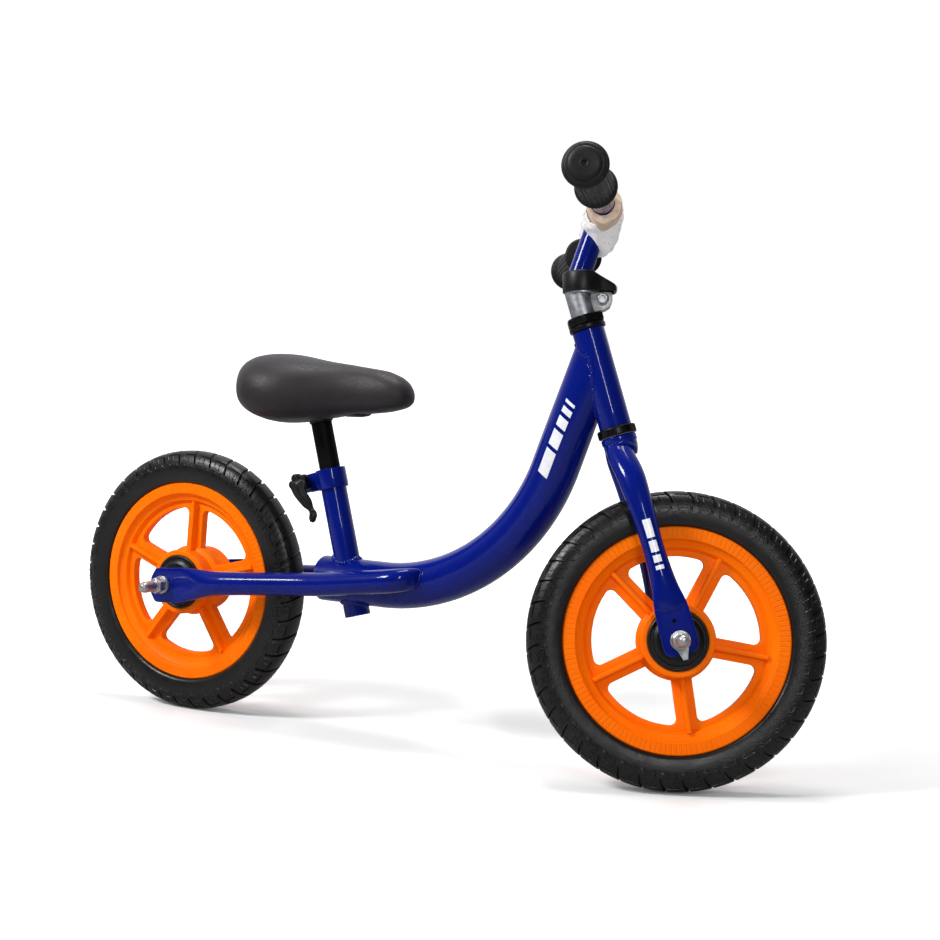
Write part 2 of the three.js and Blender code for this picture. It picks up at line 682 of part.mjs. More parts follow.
const bike = new THREE.Group();
bike.name = 'balance_bike';
const whole = new THREE.Group();
whole.add(frame, rearWheel, front);
bike.add(whole);
bike.updateMatrixWorld(true);
const bounds = new THREE.Box3().setFromObject(bike, true);
whole.position.set(
  -(bounds.min.x + bounds.max.x) / 2, -(bounds.min.y + bounds.max.y) / 2, -bounds.min.z);

export default bike;
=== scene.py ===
import json
import math

import bmesh
import bpy
import numpy as np
from mathutils import Matrix, Vector


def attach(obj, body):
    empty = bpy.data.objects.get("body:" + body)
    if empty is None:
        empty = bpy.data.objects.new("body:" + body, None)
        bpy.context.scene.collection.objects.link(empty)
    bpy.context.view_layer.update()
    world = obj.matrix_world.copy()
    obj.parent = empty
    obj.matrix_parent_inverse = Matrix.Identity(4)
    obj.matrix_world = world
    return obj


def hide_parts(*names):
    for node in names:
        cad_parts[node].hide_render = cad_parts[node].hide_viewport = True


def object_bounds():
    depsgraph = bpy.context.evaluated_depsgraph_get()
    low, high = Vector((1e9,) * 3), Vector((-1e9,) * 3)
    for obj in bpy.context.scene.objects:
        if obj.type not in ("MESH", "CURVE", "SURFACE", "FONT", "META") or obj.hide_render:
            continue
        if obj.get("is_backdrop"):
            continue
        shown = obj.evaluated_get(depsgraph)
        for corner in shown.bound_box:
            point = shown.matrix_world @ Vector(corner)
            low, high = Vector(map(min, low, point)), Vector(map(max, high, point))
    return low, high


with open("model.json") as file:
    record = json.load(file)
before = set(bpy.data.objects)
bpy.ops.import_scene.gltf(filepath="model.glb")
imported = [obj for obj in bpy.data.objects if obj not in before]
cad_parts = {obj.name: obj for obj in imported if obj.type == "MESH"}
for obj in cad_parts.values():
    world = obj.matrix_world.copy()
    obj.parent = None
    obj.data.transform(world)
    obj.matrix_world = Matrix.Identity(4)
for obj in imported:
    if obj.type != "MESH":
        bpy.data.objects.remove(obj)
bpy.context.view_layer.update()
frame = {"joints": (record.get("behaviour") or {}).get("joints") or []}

MM = 0.001
TAU = 2 * math.pi
collection = bpy.context.scene.collection

# ---- sizes, in millimetres, the same as the CAD part's
TYRE_RADIUS, TYRE_HALF, TYRE_DEPTH = 144.0, 18.7, 24.3
RIM_RADIUS, RIM_HALF = 109.0, 15.0
WEB_OUTER, WEB_HALF, SPOKE_WIDTH, SPOKES = 81.0, 5.0, 19.6, 5
HUB_RADIUS, HUB_HALF = 33.0, 27.0
REAR_DROPOUT, FORK_DROPOUT, PLATE = 51.5, 46.0, 4.0
MAIN_RADIUS, MAIN_HEIGHT, MAIN_REAR = 24.0, 163.4, 176.0
BEND_START, BEND_RADIUS, RISE = 248.8, 207.0, 70.5
SEAT_RADIUS, SEAT_BOTTOM, SEAT_TOP = 13.6, -75.5, 83.0
HEAD_RADIUS, HEAD_BOTTOM, HEAD_TOP = 15.9, 213.5, 312.6
STEERER_RADIUS, STEERER_BORE, STEERER_TOP = 12.7, 11.6, 354.0
STEM_RADIUS, STEM_BEND, STEM_BEND_RADIUS, STEM_ANGLE = 11.1, 343.0, 50.0, 37.0
BAR_FORWARD, BAR_HEIGHT, BAR_RADIUS, POST_RADIUS = 41.5, 412.0, 11.1, 11.1
FOAM_RADIUS, FOAM_BORE, WRAP_RADIUS = 16.7, 11.4, 18.2
GRIP_INNER, GRIP_BACK, GRIP_UP, GRIP_RISE = 149.0, 12.1, 1.5, 2.2  # the rise is in degrees
FLOOR_REACH = 60  # metres
CLAMP_TILT = 15.0


# ---- frames
joints = {joint["name"]: joint for joint in frame["joints"]}


def placing(origin, left, up):
    """The matrix from millimetres in a local frame to metres in the row frame."""
    up, left = Vector(up).normalized(), Vector(left).normalized()
    turn = Matrix((left.cross(up), left, up)).transposed().to_4x4()
    return Matrix.Translation(origin) @ turn @ Matrix.Scale(MM, 4)


LEFT = Vector((0, 1, 0))
steer_at, steer_axis = joints["steering"]["pos_m"], joints["steering"]["axis"]
rear_at = Vector(joints["rear_wheel_spin"]["pos_m"])
seat_axis = joints["seat_height"]["axis"]
LEVER_PIVOT = Vector((-27.5, -15, 72.5))  # in the seat tube's frame

FORK = placing(steer_at, joints["front_wheel_spin"]["axis"], steer_axis)
HEAD = placing(steer_at, LEFT, steer_axis)
REAR = placing(rear_at, LEFT, (0, 0, 1))
BIKE = REAR @ Matrix.Translation((0, 0, -TYRE_RADIUS))
SEAT = placing((0, 0, 0), LEFT, seat_axis)
SEAT = Matrix.Translation(Vector(joints["seat_lever_open"]["pos_m"]) - SEAT @ LEVER_PIVOT) @ SEAT


# ---- materials
CELLS = "cells"


def principled(name, colour, roughness, metallic=0.0, **sockets):
    """A new node material and its shader. Sockets are named with _ for a space."""
    material = bpy.data.materials.new(name)
    material.use_nodes = True
    shader = material.node_tree.nodes["Principled BSDF"]
    shader.inputs["Base Color"].default_value = (*colour, 1)
    shader.inputs["Roughness"].default_value = roughness
    shader.inputs["Metallic"].default_value = metallic
    for socket, value in sockets.items():
        shader.inputs[socket.replace("_", " ")].default_value = value
    return material, shader


def node(tree, kind, operation=None, **sockets):
    """A new shader node. Sockets are named with _ for a space."""
    made = tree.nodes.new("ShaderNode" + kind)
    if operation:
        made.operation = operation
    for socket, value in sockets.items():
        made.inputs[socket.replace("_", " ")].default_value = value
    return made


def linked(tree, *pairs):
    for source, target in pairs:
        tree.links.new(source, target)


def texture(tree, scale, detail):
    """A noise, or cells, in object coordinates. Scale is in features to the metre."""
    cells = detail == CELLS
    made = node(tree, "TexVoronoi" if cells else "TexNoise", Scale=scale)
    if not cells:
        made.inputs["Detail"].default_value = detail
    tree.links.new(node(tree, "TexCoord").outputs["Object"], made.inputs["Vector"])
    return made.outputs["Distance" if cells else 0]


def finished(name, colour, roughness, metallic=0.0, tint=None, rough=None, bumps=(), **sockets):
    """A material with texture. tint and rough are (scale, detail, low, high, first, last), where
    the texture runs from first to last, and bumps are (scale, detail, height in metres)."""
    material, shader = principled(name, colour, roughness, metallic, **sockets)
    tree = material.node_tree
    for row, socket in ((tint, "Base Color"), (rough, "Roughness")):
        if row:
            scale, detail, low, high, *ends = row
            ramp = node(tree, "ValToRGB")
            for element, position, value in zip(ramp.color_ramp.elements, (low, high), ends):
                element.position = position
                element.color = (*np.broadcast_to(value, 3), 1)
            linked(tree, (texture(tree, scale, detail), ramp.inputs["Fac"]),
                   (ramp.outputs["Color"], shader.inputs[socket]))
    last = None
    for scale, detail, height in bumps:
        bump = node(tree, "Bump", Strength=1.0, Distance=height)
        tree.links.new(texture(tree, scale, detail), bump.inputs["Height"])
        if last:
            tree.links.new(last, bump.inputs["Normal"])
        last = bump.outputs["Normal"]
    if last:
        tree.links.new(last, shader.inputs["Normal"])
    return material


def blue_paint():
    return finished("blue_paint", (0.001, 0.007, 0.16), 0.34, Coat_Weight=1.0, Coat_IOR=1.27,
                    Coat_Roughness=0.03, Specular_IOR_Level=0.05,
                    tint=(9, 2, 0.3, 0.75, (0.0006, 0.0064, 0.145), (0.0011, 0.0086, 0.185)),
                    rough=(60, 4, 0.3, 0.8, 0.22, 0.36), bumps=[(420, 2, 0.00002)])


def black_paint():
    return finished("black_paint", (0.0022, 0.0022, 0.0024), 0.3, Specular_IOR_Level=0.2,
                    rough=(90, 4, 0.3, 0.8, 0.3, 0.45), bumps=[(500, 2, 0.00002)])


def matt_black():
    return finished("matt_black", (0.002, 0.002, 0.0022), 0.55, Specular_IOR_Level=0.08,
                    rough=(90, 4, 0.3, 0.8, 0.5, 0.62), bumps=[(500, 2, 0.00002)])


def orange_plastic():
    return finished("orange_plastic", (1.0, 0.18, 0.0), 0.42, Specular_IOR_Level=0.06,
                    Subsurface_Weight=0.08, Subsurface_Scale=0.004,
                    Subsurface_Radius=(1.0, 0.35, 0.05),
                    tint=(14, 3, 0.3, 0.75, (1.0, 0.15, 0.0), (1.0, 0.192, 0.0005)),
                    rough=(240, 4, 0.3, 0.75, 0.36, 0.52), bumps=[(900, 3, 0.00003)])


def tyre_foam():
    return finished("tyre_foam", (0.006, 0.0055, 0.0055), 0.36, Specular_IOR_Level=0.36,
                    tint=(30, 5, 0.3, 0.75, (0.0035, 0.0032, 0.0033), (0.009, 0.0078, 0.0079)),
                    rough=(70, 5, 0.25, 0.8, 0.28, 0.44),
                    bumps=[(160, 5, 0.00022), (700, CELLS, 0.00008)])


def grip_rubber():
    return finished("grip_rubber", (0.005, 0.005, 0.005), 0.5, Specular_IOR_Level=0.28,
                    tint=(40, 4, 0.3, 0.75, (0.0035, 0.0035, 0.004), (0.007, 0.0065, 0.007)),
                    rough=(120, 4, 0.3, 0.75, 0.42, 0.6), bumps=[(1400, 2, 0.00004)])


def black_plastic():
    return finished("black_plastic", (0.003, 0.003, 0.003), 0.34, Specular_IOR_Level=0.3,
                    tint=(50, 3, 0.3, 0.75, (0.0022, 0.0022, 0.0024), (0.0045, 0.0045, 0.0048)),
                    rough=(150, 4, 0.3, 0.75, 0.3, 0.5), bumps=[(1200, 2, 0.00003)])


def saddle_cover():
    return finished("saddle_cover", (0.022, 0.0175, 0.02), 0.5, Sheen_Weight=0.08,
                    Sheen_Roughness=0.4, Specular_IOR_Level=0.35,
                    tint=(26, 4, 0.3, 0.75, (0.011, 0.0082, 0.0095), (0.0175, 0.0135, 0.0155)),
                    rough=(300, 4, 0.3, 0.75, 0.46, 0.6),
                    bumps=[(60, 3, 0.0002), (850, CELLS, 0.0001)])


def zinc():
    return finished("zinc", (0.55, 0.57, 0.6), 0.33, 1.0,
                    tint=(150, 5, 0.3, 0.72, (0.27, 0.28, 0.30), (0.50, 0.52, 0.55)),
                    rough=(260, CELLS, 0.0, 0.6, 0.34, 0.48), bumps=[(400, 4, 0.00002)])


def steel():
    return finished("steel", (0.62, 0.61, 0.6), 0.3, 1.0,
                    tint=(220, 5, 0.3, 0.75, 0.38, 0.54),
                    rough=(500, 3, 0.3, 0.75, 0.36, 0.46), bumps=[(800, 3, 0.00001)])


def cream_foam():
    return finished("cream_foam", (0.83, 0.62, 0.46), 0.85, Subsurface_Weight=0.3,
                    Subsurface_Scale=0.004, Subsurface_Radius=(1.0, 0.7, 0.5),
                    tint=(180, 5, 0.3, 0.75, (0.70, 0.50, 0.36), (0.90, 0.72, 0.57)),
                    bumps=[(1100, CELLS, 0.00025), (90, 3, 0.0004)])


# The wrap glows faintly (emission strength 0.12): painted light that brightens the wrap where it lies
# in shade. Its dark speckles are the sheet's own print.
def packing_wrap():
    return finished("packing_wrap", (0.95, 0.92, 0.94), 0.5, Emission_Color=(1, 0.97, 0.98, 1),
                    Emission_Strength=0.12,
                    tint=(150, CELLS, 0.13, 0.17, (0.02, 0.02, 0.025), (0.95, 0.92, 0.935)),
                    bumps=[(130, 3, 0.0006), (900, 2, 0.00008)])


def white_mark():
    return finished("white_mark", (0.8, 0.81, 0.84), 0.3, Coat_Weight=0.6,
                    tint=(120, 4, 0.3, 0.75, (0.72, 0.73, 0.78), (0.86, 0.87, 0.9)),
                    rough=(300, 4, 0.3, 0.75, 0.25, 0.4))


MATERIALS = {make.__name__: make() for make in (
    blue_paint, black_paint, matt_black, orange_plastic, tyre_foam, grip_rubber, black_plastic,
    saddle_cover, zinc, steel, cream_foam, packing_wrap, white_mark)}


# ---- mesh helpers
def smooth(x, low, high):
    t = np.clip((x - low) / (high - low), 0, 1)
    return t * t * (3 - 2 * t)


def circle(count, phase=0.0):
    angles = np.arange(count) * TAU / count + phase
    return np.cos(angles), np.sin(angles)


def skin(rows, loop=False, caps=True):
    """A surface through rings of points, closed round each ring, as (points, faces)."""
    rows = np.asarray(rows, float)
    count, around = rows.shape[:2]
    nearest = np.arange(count if loop else count - 1)[:, None]
    i = np.arange(around)[None, :]
    a = nearest * around + i
    b = nearest * around + (i + 1) % around
    after = (nearest + 1) % count * around
    faces = np.stack([a, b, after + (i + 1) % around, after + i], -1).reshape(-1, 4).tolist()
    if caps and not loop:
        faces.append(list(range(around))[::-1])
        faces.append([(count - 1) * around + k for k in range(around)])
    return rows.reshape(-1, 3), faces


def merged(*parts):
    points, faces, start = [], [], 0
    for part_points, part_faces in parts:
        points.append(part_points)
        faces += [[k + start for k in face] for face in part_faces]
        start += len(part_points)
    return np.concatenate(points), faces


def rounded(profile, radius=0.5, closed=True):
    """A profile of (radius, height) pairs with each corner cut to a small curve."""
    points = [np.array(p, float) for p in profile]
    result = []
    for i, corner in enumerate(points):
        if not closed and i in (0, len(points) - 1):
            result.append(corner)
            continue
        before, after = points[i - 1], points[(i + 1) % len(points)]
        inward, outward = before - corner, after - corner
        reach = min(radius, 0.45 * np.linalg.norm(inward), 0.45 * np.linalg.norm(outward))
        start = corner + inward / max(np.linalg.norm(inward), 1e-9) * reach
        end = corner + outward / max(np.linalg.norm(outward), 1e-9) * reach
        for t in (0, 0.25, 0.5, 0.75, 1):
            result.append((1 - t) ** 2 * start + 2 * t * (1 - t) * corner + t * t * end)
    return result


def lathe(profile, count=64, axis="Y", radius=0.5, closed=True):
    """A profile of (radius, height) pairs turned about an axis. An open one ends on the axis."""
    profile = np.array(rounded(profile, radius, closed) if radius else profile, float)
    profile[:, 0] = np.maximum(profile[:, 0], 0.02)
    c, s = circle(count)
    rows = []
    for r, height in profile:
        flat = (r * c, np.full(count, height), r * s) if axis == "Y" else (
            r * c, r * s, np.full(count, height))
        rows.append(np.stack(flat, -1))
    return skin(rows, loop=closed)


def ring(inner, outer, low, high, count=64, axis="Y", radius=0.5):
    return lathe([(inner, low), (outer, low), (outer, high), (inner, high)], count, axis, radius)


def rod(outer, low, high, count=32, axis="Y", radius=0.5):
    return lathe([(0, low), (outer, low), (outer, high), (0, high)], count, axis, radius,
                 closed=False)


def sweep(points, normal, radius, count):
    """A tube along points that lie in the plane with this normal."""
    points = np.asarray(points, float)
    normal = np.asarray(normal, float)
    tangents = np.gradient(points, axis=0)
    tangents /= np.linalg.norm(tangents, axis=1)[:, None]
    ups = np.cross(normal, tangents)
    c, s = circle(count)
    return np.array([p + radius * (c[:, None] * normal + s[:, None] * up)
                     for p, up in zip(points, ups)])


def resampled(rows, steps):
    """Catmull-Rom interpolation between rows of numbers."""
    rows = np.array(rows, float)
    padded = np.vstack([2 * rows[0] - rows[1], rows, 2 * rows[-1] - rows[-2]])
    result = []
    for i in range(1, len(rows)):
        a, b, c, d = padded[i - 1:i + 3]
        for t in np.arange(steps) / steps:
            result.append(0.5 * (2 * b + (c - a) * t + (2 * a - 5 * b + 4 * c - d) * t ** 2
                                 + (3 * b - a - 3 * c + d) * t ** 3))
    return np.array(result + [rows[-1]])


def oval(count, power):
    """A superellipse: power 2 is an ellipse, higher is squarer."""
    c, s = circle(count, TAU / count / 2)
    return np.sign(c) * abs(c) ** (2 / power), np.sign(s) * abs(s) ** (2 / power)


def block(x0, x1, y0, y1, z0, z1):
    xs, ys, zs = (x0, x1), (y0, y1), (z0, z1)
    points = np.array([(xs[i], ys[j], zs[k]) for k in (0, 1) for j, i in
                       ((0, 0), (0, 1), (1, 1), (1, 0))], float)
    return points, [[3, 2, 1, 0], [4, 5, 6, 7], [0, 1, 5, 4], [1, 2, 6, 5], [2, 3, 7, 6],
                    [3, 0, 4, 7]]


def turned(part, matrix):
    """A part moved by a 4 by 4 matrix, in millimetres."""
    points, faces = part
    m = np.array(matrix)
    return points @ m[:3, :3].T + m[:3, 3], faces


def mirrored(part):
    points, faces = part
    return points * [1, -1, 1], [face[::-1] for face in faces]


def bead(path, normals, radius=2.2, pitch=2.6, count=10):
    """A weld bead along a path on a surface, in overlapping scales."""
    path, normals = np.asarray(path, float), np.asarray(normals, float)
    steps = np.linalg.norm(np.diff(path, axis=0), axis=1)
    length = np.concatenate([[0], np.cumsum(steps)])
    at = np.arange(0, length[-1], 0.5)
    path = np.stack([np.interp(at, length, path[:, k]) for k in range(3)], -1)
    normals = np.stack([np.interp(at, length, normals[:, k]) for k in range(3)], -1)
    tangents = np.gradient(path, axis=0)
    tangents /= np.linalg.norm(tangents, axis=1)[:, None]
    sides = np.cross(tangents, normals)
    sides /= np.linalg.norm(sides, axis=1)[:, None]
    scale = (at % pitch) / pitch
    wander = 0.12 * np.sin(at * 0.9) + 0.1 * np.sin(at * 0.37 + 1)
    size = radius * (0.82 + 0.28 * np.sin(math.pi * scale) ** 0.6 + wander)
    size[0] = size[-1] = radius * 0.2
    c, s = circle(count)
    rows = [p + r * (c[:, None] * side * 1.15 + s[:, None] * n * 0.62)
            for p, r, side, n in zip(path, size, sides, normals)]
    return skin(rows)


def placed(name, data):
    obj = bpy.data.objects.new(name, data)
    collection.objects.link(obj)
    return obj


def mesh_object(name, part):
    """A new object from a part, in millimetres, with its faces turned outward."""
    points, faces = part
    mesh = bpy.data.meshes.new(name)
    mesh.from_pydata(points.tolist(), [], faces)
    work = bmesh.new()
    work.from_mesh(mesh)
    bmesh.ops.recalc_face_normals(work, faces=work.faces)
    work.to_mesh(mesh)
    work.free()
    return placed(name, mesh)


def evaluated(obj):
    """The mesh that an object's curve or modifiers make."""
    return bpy.data.meshes.new_from_object(
        obj.evaluated_get(bpy.context.evaluated_depsgraph_get()))


def piece(name, part, place, material, body, replaces=(), sharp=32, cuts=(), bevel=0.0):
    """A finished Blender object from a part in millimetres."""
    obj = mesh_object(name, part)
    for tool in cuts:
        carve(obj, tool)
    if bevel:
        modify(obj, "BEVEL", width=bevel, segments=2, limit_method="ANGLE", angle_limit=0.6)
    mesh = obj.data
    mesh.transform(place)
    mesh.materials.clear()
    mesh.materials.append(MATERIALS[material])
    mesh.shade_smooth()
    mesh.set_sharp_from_angle(angle=math.radians(sharp))
    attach(obj, body)
    if replaces:
        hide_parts(*replaces)
    return obj


def modify(obj, kind, **settings):
    """Adds one modifier and makes its result the mesh."""
    modifier = obj.modifiers.new(kind, kind)
    for name, value in settings.items():
        setattr(modifier, name, value)
    result = evaluated(obj)
    obj.modifiers.clear()
    obj.data = result


def carve(obj, part):
    tool = mesh_object("tool", part)
    modify(obj, "BOOLEAN", operation="DIFFERENCE", object=tool, solver="EXACT")
    bpy.data.objects.remove(tool)


def solid_outline(outer, holes, half, bevel):
    """A flat plate in the XZ plane with round-cornered holes, its edges bevelled."""
    curve = bpy.data.curves.new("outline", "CURVE")
    curve.dimensions = "2D"
    curve.fill_mode = "BOTH"
    curve.extrude = half - bevel
    curve.bevel_depth = bevel
    curve.bevel_resolution = 2
    curve.offset = -bevel
    for line in (outer, *holes):
        spline = curve.splines.new("POLY")
        spline.points.add(len(line) - 1)
        spline.points.foreach_set("co", [v for x, z in line for v in (x, z, 0, 1)])
        spline.use_cyclic_u = True
    obj = placed("outline", curve)
    mesh = evaluated(obj)
    bpy.data.objects.remove(obj)
    work = bmesh.new()
    work.from_mesh(mesh)
    bmesh.ops.remove_doubles(work, verts=work.verts, dist=0.001)
    points = np.array([(v.co.x, v.co.z, v.co.y) for v in work.verts])
    faces = [[v.index for v in face.verts] for face in work.faces]
    work.free()
    return points, faces


# ---- wheels
PITCHES = 40  # tread blocks round the tyre
STEPS = (0.0, 0.06, 0.09, 0.14, 0.17, 0.24, 0.27, 0.32, 0.35, 0.46, 0.54, 0.57, 0.62, 0.65, 0.78,
         0.81, 0.90, 0.93)  # block edges along a pitch


def tread_depth(angle, step):
    """How deep the tread is cut, or raised if negative, at an angle from the crown."""
    if 0.80 < step < 0.91 and angle < 61:
        return 2.4
    if 29.5 < angle < 34.5:
        return 1.3 if step < 0.5 else 0
    first, second = 0.08 < step < 0.15, 0.56 < step < 0.63
    if 39 < angle < 56 and (0.26 < step < 0.33 or second or (angle > 52 and 0.26 < step < 0.63)):
        return -0.6
    if 62 < angle < 79.5 and (first or second or (68.5 < angle < 72.5 and step < 0.63)):
        return -0.8
    return 0


def tyre():
    half = [0, 7, 15, 22, 29, 30, 34, 35, 38.5, 39.5, 45, 51.5, 52.5, 55.5, 56.5, 60.5, 61.5, 62.5,
            68, 69, 72, 73, 79, 80, 85, 90]
    rows = []
    for side in (-1, 1):
        for angle in (half[::-1] if side < 0 else half[1:]):
            turn = math.radians(angle)
            crown = min(angle / 8, 1.0)
            radius = TYRE_RADIUS - TYRE_DEPTH * (1 - math.cos(turn)) * crown
            y = side * (3 * crown * math.cos(turn) + TYRE_HALF * math.sin(turn)) * 0.985
            normal = np.array([math.cos(turn), side * math.sin(turn)])
            shear = side * 0.006 * angle
            points = []
            for pitch in range(PITCHES):
                for step in STEPS:
                    depth = tread_depth(angle, step)
                    theta = (pitch + step + shear) / PITCHES * TAU
                    r, across = np.array([radius, y]) - normal * depth
                    points.append((r * math.cos(theta), across, r * math.sin(theta)))
            rows.append(points)
    angles = np.arctan2(np.array(rows)[:, :, 2], np.array(rows)[:, :, 0])
    bead_line = [(113, 18.0), (110.6, 16.9), (109.4, 15.2), (109.3, 0.0)]
    edge = []
    for side, row in ((1, -1), (-1, 0)):
        line = bead_line if side > 0 else bead_line[:-1][::-1]
        edge += [[(r * math.cos(t), side * y, r * math.sin(t)) for t in angles[row]]
                 for r, y in line]
    return skin(rows + edge, loop=True)


def arc(centre, radius, start, end, steps=8):
    return [(centre[0] + radius * math.cos(a), centre[1] + radius * math.sin(a))
            for a in np.linspace(start, end, steps)]


def window(index, phase):
    """The opening between two spokes, with round corners, as (x, z) points."""
    inner, outer, fillet, edge = HUB_RADIUS + 3, WEB_OUTER, 6.0, SPOKE_WIDTH / 2
    far, near = outer - fillet, inner + fillet
    far_lift, near_lift = (math.asin((edge + fillet) / distance) for distance in (far, near))
    first = math.radians(phase) + index * TAU / SPOKES
    last = first + TAU / SPOKES

    def polar(distance, angle):
        return distance * math.cos(angle), distance * math.sin(angle)

    points = arc(polar(far, first + far_lift), fillet, first - math.pi / 2, first + far_lift)
    points += arc((0, 0), outer, first + far_lift, last - far_lift, 24)[1:-1]
    points += arc(polar(far, last - far_lift), fillet, last - far_lift, last + math.pi / 2)
    points += arc(polar(near, last - near_lift), fillet, last + math.pi / 2,
                  last - near_lift + math.pi)
    points += arc((0, 0), inner, last - near_lift, first + near_lift, 12)[1:-1]
    points += arc(polar(near, first + near_lift), fillet, first + near_lift + math.pi,
                  first + 3 * math.pi / 2)
    return points


SERRATIONS = 132  # radial grooves round the rim's face


def rim_ring():
    """The rim's ring, with fine radial grooves on both faces."""
    half = [(RIM_RADIUS, 0), (RIM_RADIUS, RIM_HALF - 0.8), (RIM_RADIUS - 0.8, RIM_HALF),
            (108.0, RIM_HALF + 0.25), (103.0, RIM_HALF + 0.45), (97.6, RIM_HALF + 0.5),
            (96.8, RIM_HALF - 0.2), (96.2, RIM_HALF - 2.4), (95.4, RIM_HALF - 3.2),
            (91.4, RIM_HALF - 5.4), (89.6, RIM_HALF - 5.8), (88.8, RIM_HALF - 6.6),
            (88.0, RIM_HALF - 8), (87.2, WEB_HALF + 0.8), (86.2, WEB_HALF - 0.6), (85, 0)]
    count = SERRATIONS * 6
    c, s = circle(count)
    groove = np.array([0.0, 0.4, 0.0, 0.0, 0.2, 0.0] * SERRATIONS)
    rows = []
    for side in (1, -1):
        for r, y in (half if side > 0 else half[-2:0:-1]):
            cut = groove if 97 < r < 108.5 else 0 * groove
            rows.append(np.stack([r * c, side * (y - cut), r * s], -1))
    return skin(rows, loop=True)


def rib(phase, side):
    """The thin rib that stands on a spoke's web."""
    reach = np.array([30, 34, 50, 70, 84, 88.6])
    height = np.array([12.5, 12.6, 12.2, 11.8, 11.8, 12.0])
    rows = []
    for r, top in zip(reach, height):
        rows.append([(r, 0, -2.9), (r, top - 0.7, -2.1), (r, top - 0.2, -1.8), (r, top, -1.2),
                     (r, top, 1.2), (r, top - 0.2, 1.8), (r, top - 0.7, 2.1), (r, 0, 2.9)])
    points, faces = skin(rows)
    part = points * [1, side, 1], faces
    return turned(part, Matrix.Rotation(-math.radians(phase), 4, "Y"))


def rim(phase):
    step = 360 / SPOKES
    outline = arc((0, 0), 87.5, 0, TAU, 181)[:-1]
    plate = solid_outline(outline, [window(i, phase) for i in range(SPOKES)], WEB_HALF, 0.7)
    barrel = lathe([(14, HUB_HALF - 1), (29.6, HUB_HALF - 1), (30, HUB_HALF + 0.2),
                    (34.6, HUB_HALF + 0.2), (35.5, HUB_HALF - 1.5), (33.6, 12),
                    (33.6, -12), (35.5, 1.5 - HUB_HALF), (34.6, -HUB_HALF - 0.2),
                    (30, -HUB_HALF - 0.2), (29.6, 1 - HUB_HALF), (14, 1 - HUB_HALF)], 96)
    foot = lathe([(33, -8), (37.2, -5.6), (38.6, -4.2), (38.6, 4.2), (37.2, 5.6), (33, 8)], 96)
    ribs = [rib(phase + i * step, side) for i in range(SPOKES) for side in (1, -1)]
    return merged(rim_ring(), plate, barrel, foot, *ribs)


def hub_cap():
    face = HUB_HALF + 0.3
    return lathe([(8.6, face - 2), (29.2, face - 2), (29.2, face + 0.6), (28.2, face + 1.2),
                  (27.0, face + 1.2), (26.4, face + 0.6), (24.6, face + 0.6), (24, face + 2.4),
                  (20.5, face + 4.6), (12, face + 5.4), (8.6, face + 5.6)], 96, radius=0.35)


def hexagon(width, low, high, chamfer):
    """A hexagonal nut about Y, width across its flats, with rounded corners at both faces."""
    count = 72
    angles = np.arange(count) * TAU / count
    wave = (angles + math.pi / 6) % (math.pi / 3) - math.pi / 6
    full = width / 2 / np.cos(wave)
    inner = np.minimum(full, width / 2 * 1.04)
    rows = []
    for y, r in ((low, inner - chamfer * 0.6), (low + chamfer * 0.5, np.minimum(full, inner + 0.3)),
                 (low + chamfer, full), (high - chamfer, full),
                 (high - chamfer * 0.5, np.minimum(full, inner + 0.3)),
                 (high, inner - chamfer * 0.6)):
        rows.append(np.stack([r * np.cos(angles), np.full(count, y), r * np.sin(angles)], -1))
    return skin(rows)


def cap_nut(dropout):
    low = dropout + PLATE + 2.5
    dome = lathe([(0, low + 9), (6.4, low + 9), (6.4, low + 12.2), (5.6, low + 13), (5.9, low + 14),
                  (6.1, low + 27), (5.2, low + 31), (3.2, low + 33.4), (0, low + 34)],
                 48, radius=0.8, closed=False)
    flange = rod(9.6, low, low + 1.2, 48)
    return merged(hexagon(15.4, low + 1, low + 11, 1.2), dome, flange)


def washer(dropout):
    low = dropout + PLATE + 0.3
    return ring(5.4, 9.6, low, low + 1.9, radius=0.4)


def tab_washer(dropout):
    """A washer whose tail narrows downward and hooks over the blade's end."""
    low = dropout + PLATE + 0.3
    line = [(9.6 * math.sin(a), -9.6 * math.cos(a)) for a in
            np.linspace(math.radians(38), TAU - math.radians(38), 50)]
    line += [(-2.4, -17.2), (2.4, -17.2)]
    rows = [[(x, y, z) for x, z in line] for y in (low, low + 1.9)]
    hook = block(-2.3, 2.3, low - 3.6, low + 1.9, -18.4, -16.6)
    return merged(skin(rows), hook)


def spacer(dropout):
    low, high = HUB_HALF + 0.3, dropout - 0.3
    return ring(5.3, 7.8, low, high, 48, radius=0.4)


def wheel(name, place, fixed_body, dropout, make_washer, phase):
    moving = f"{name}_wheel"
    piece(f"{name}_tyre_tread", tyre(), place, "tyre_foam", moving, [f"{name}_tyre"], sharp=38)
    piece(f"{name}_rim_moulding", rim(phase), place, "orange_plastic", moving, [f"{name}_rim"],
          sharp=30)
    reach = dropout + PLATE + 20
    piece(f"{name}_axle_rod", rod(5, -reach, reach), place, "steel", fixed_body,
          [f"{name}_axle"])
    for side, put in (("left", lambda part: part), ("right", mirrored)):
        tag = f"{name}_{side}"
        piece(f"{tag}_cap_disc", put(hub_cap()), place, "black_plastic", moving,
              [f"{tag}_hub_cap"])
        piece(f"{tag}_bearing_ring", put(ring(5.4, 12.9, 18.8, 26.2, 48)), place, "steel",
              moving, [f"{tag}_bearing"])
        piece(f"{tag}_spacer_sleeve", put(spacer(dropout)), place, "zinc", fixed_body,
              [f"{tag}_spacer"])
        piece(f"{tag}_lock_washer", put(make_washer(dropout)), place, "zinc", fixed_body,
              [f"{tag}_washer"])
        piece(f"{tag}_cap_nut", put(cap_nut(dropout)), place, "steel", fixed_body,
              [f"{tag}_nut"])


wheel("front", FORK, "fork", FORK_DROPOUT, tab_washer, 46.1)
wheel("rear", REAR, "frame", REAR_DROPOUT, washer, 86.9)


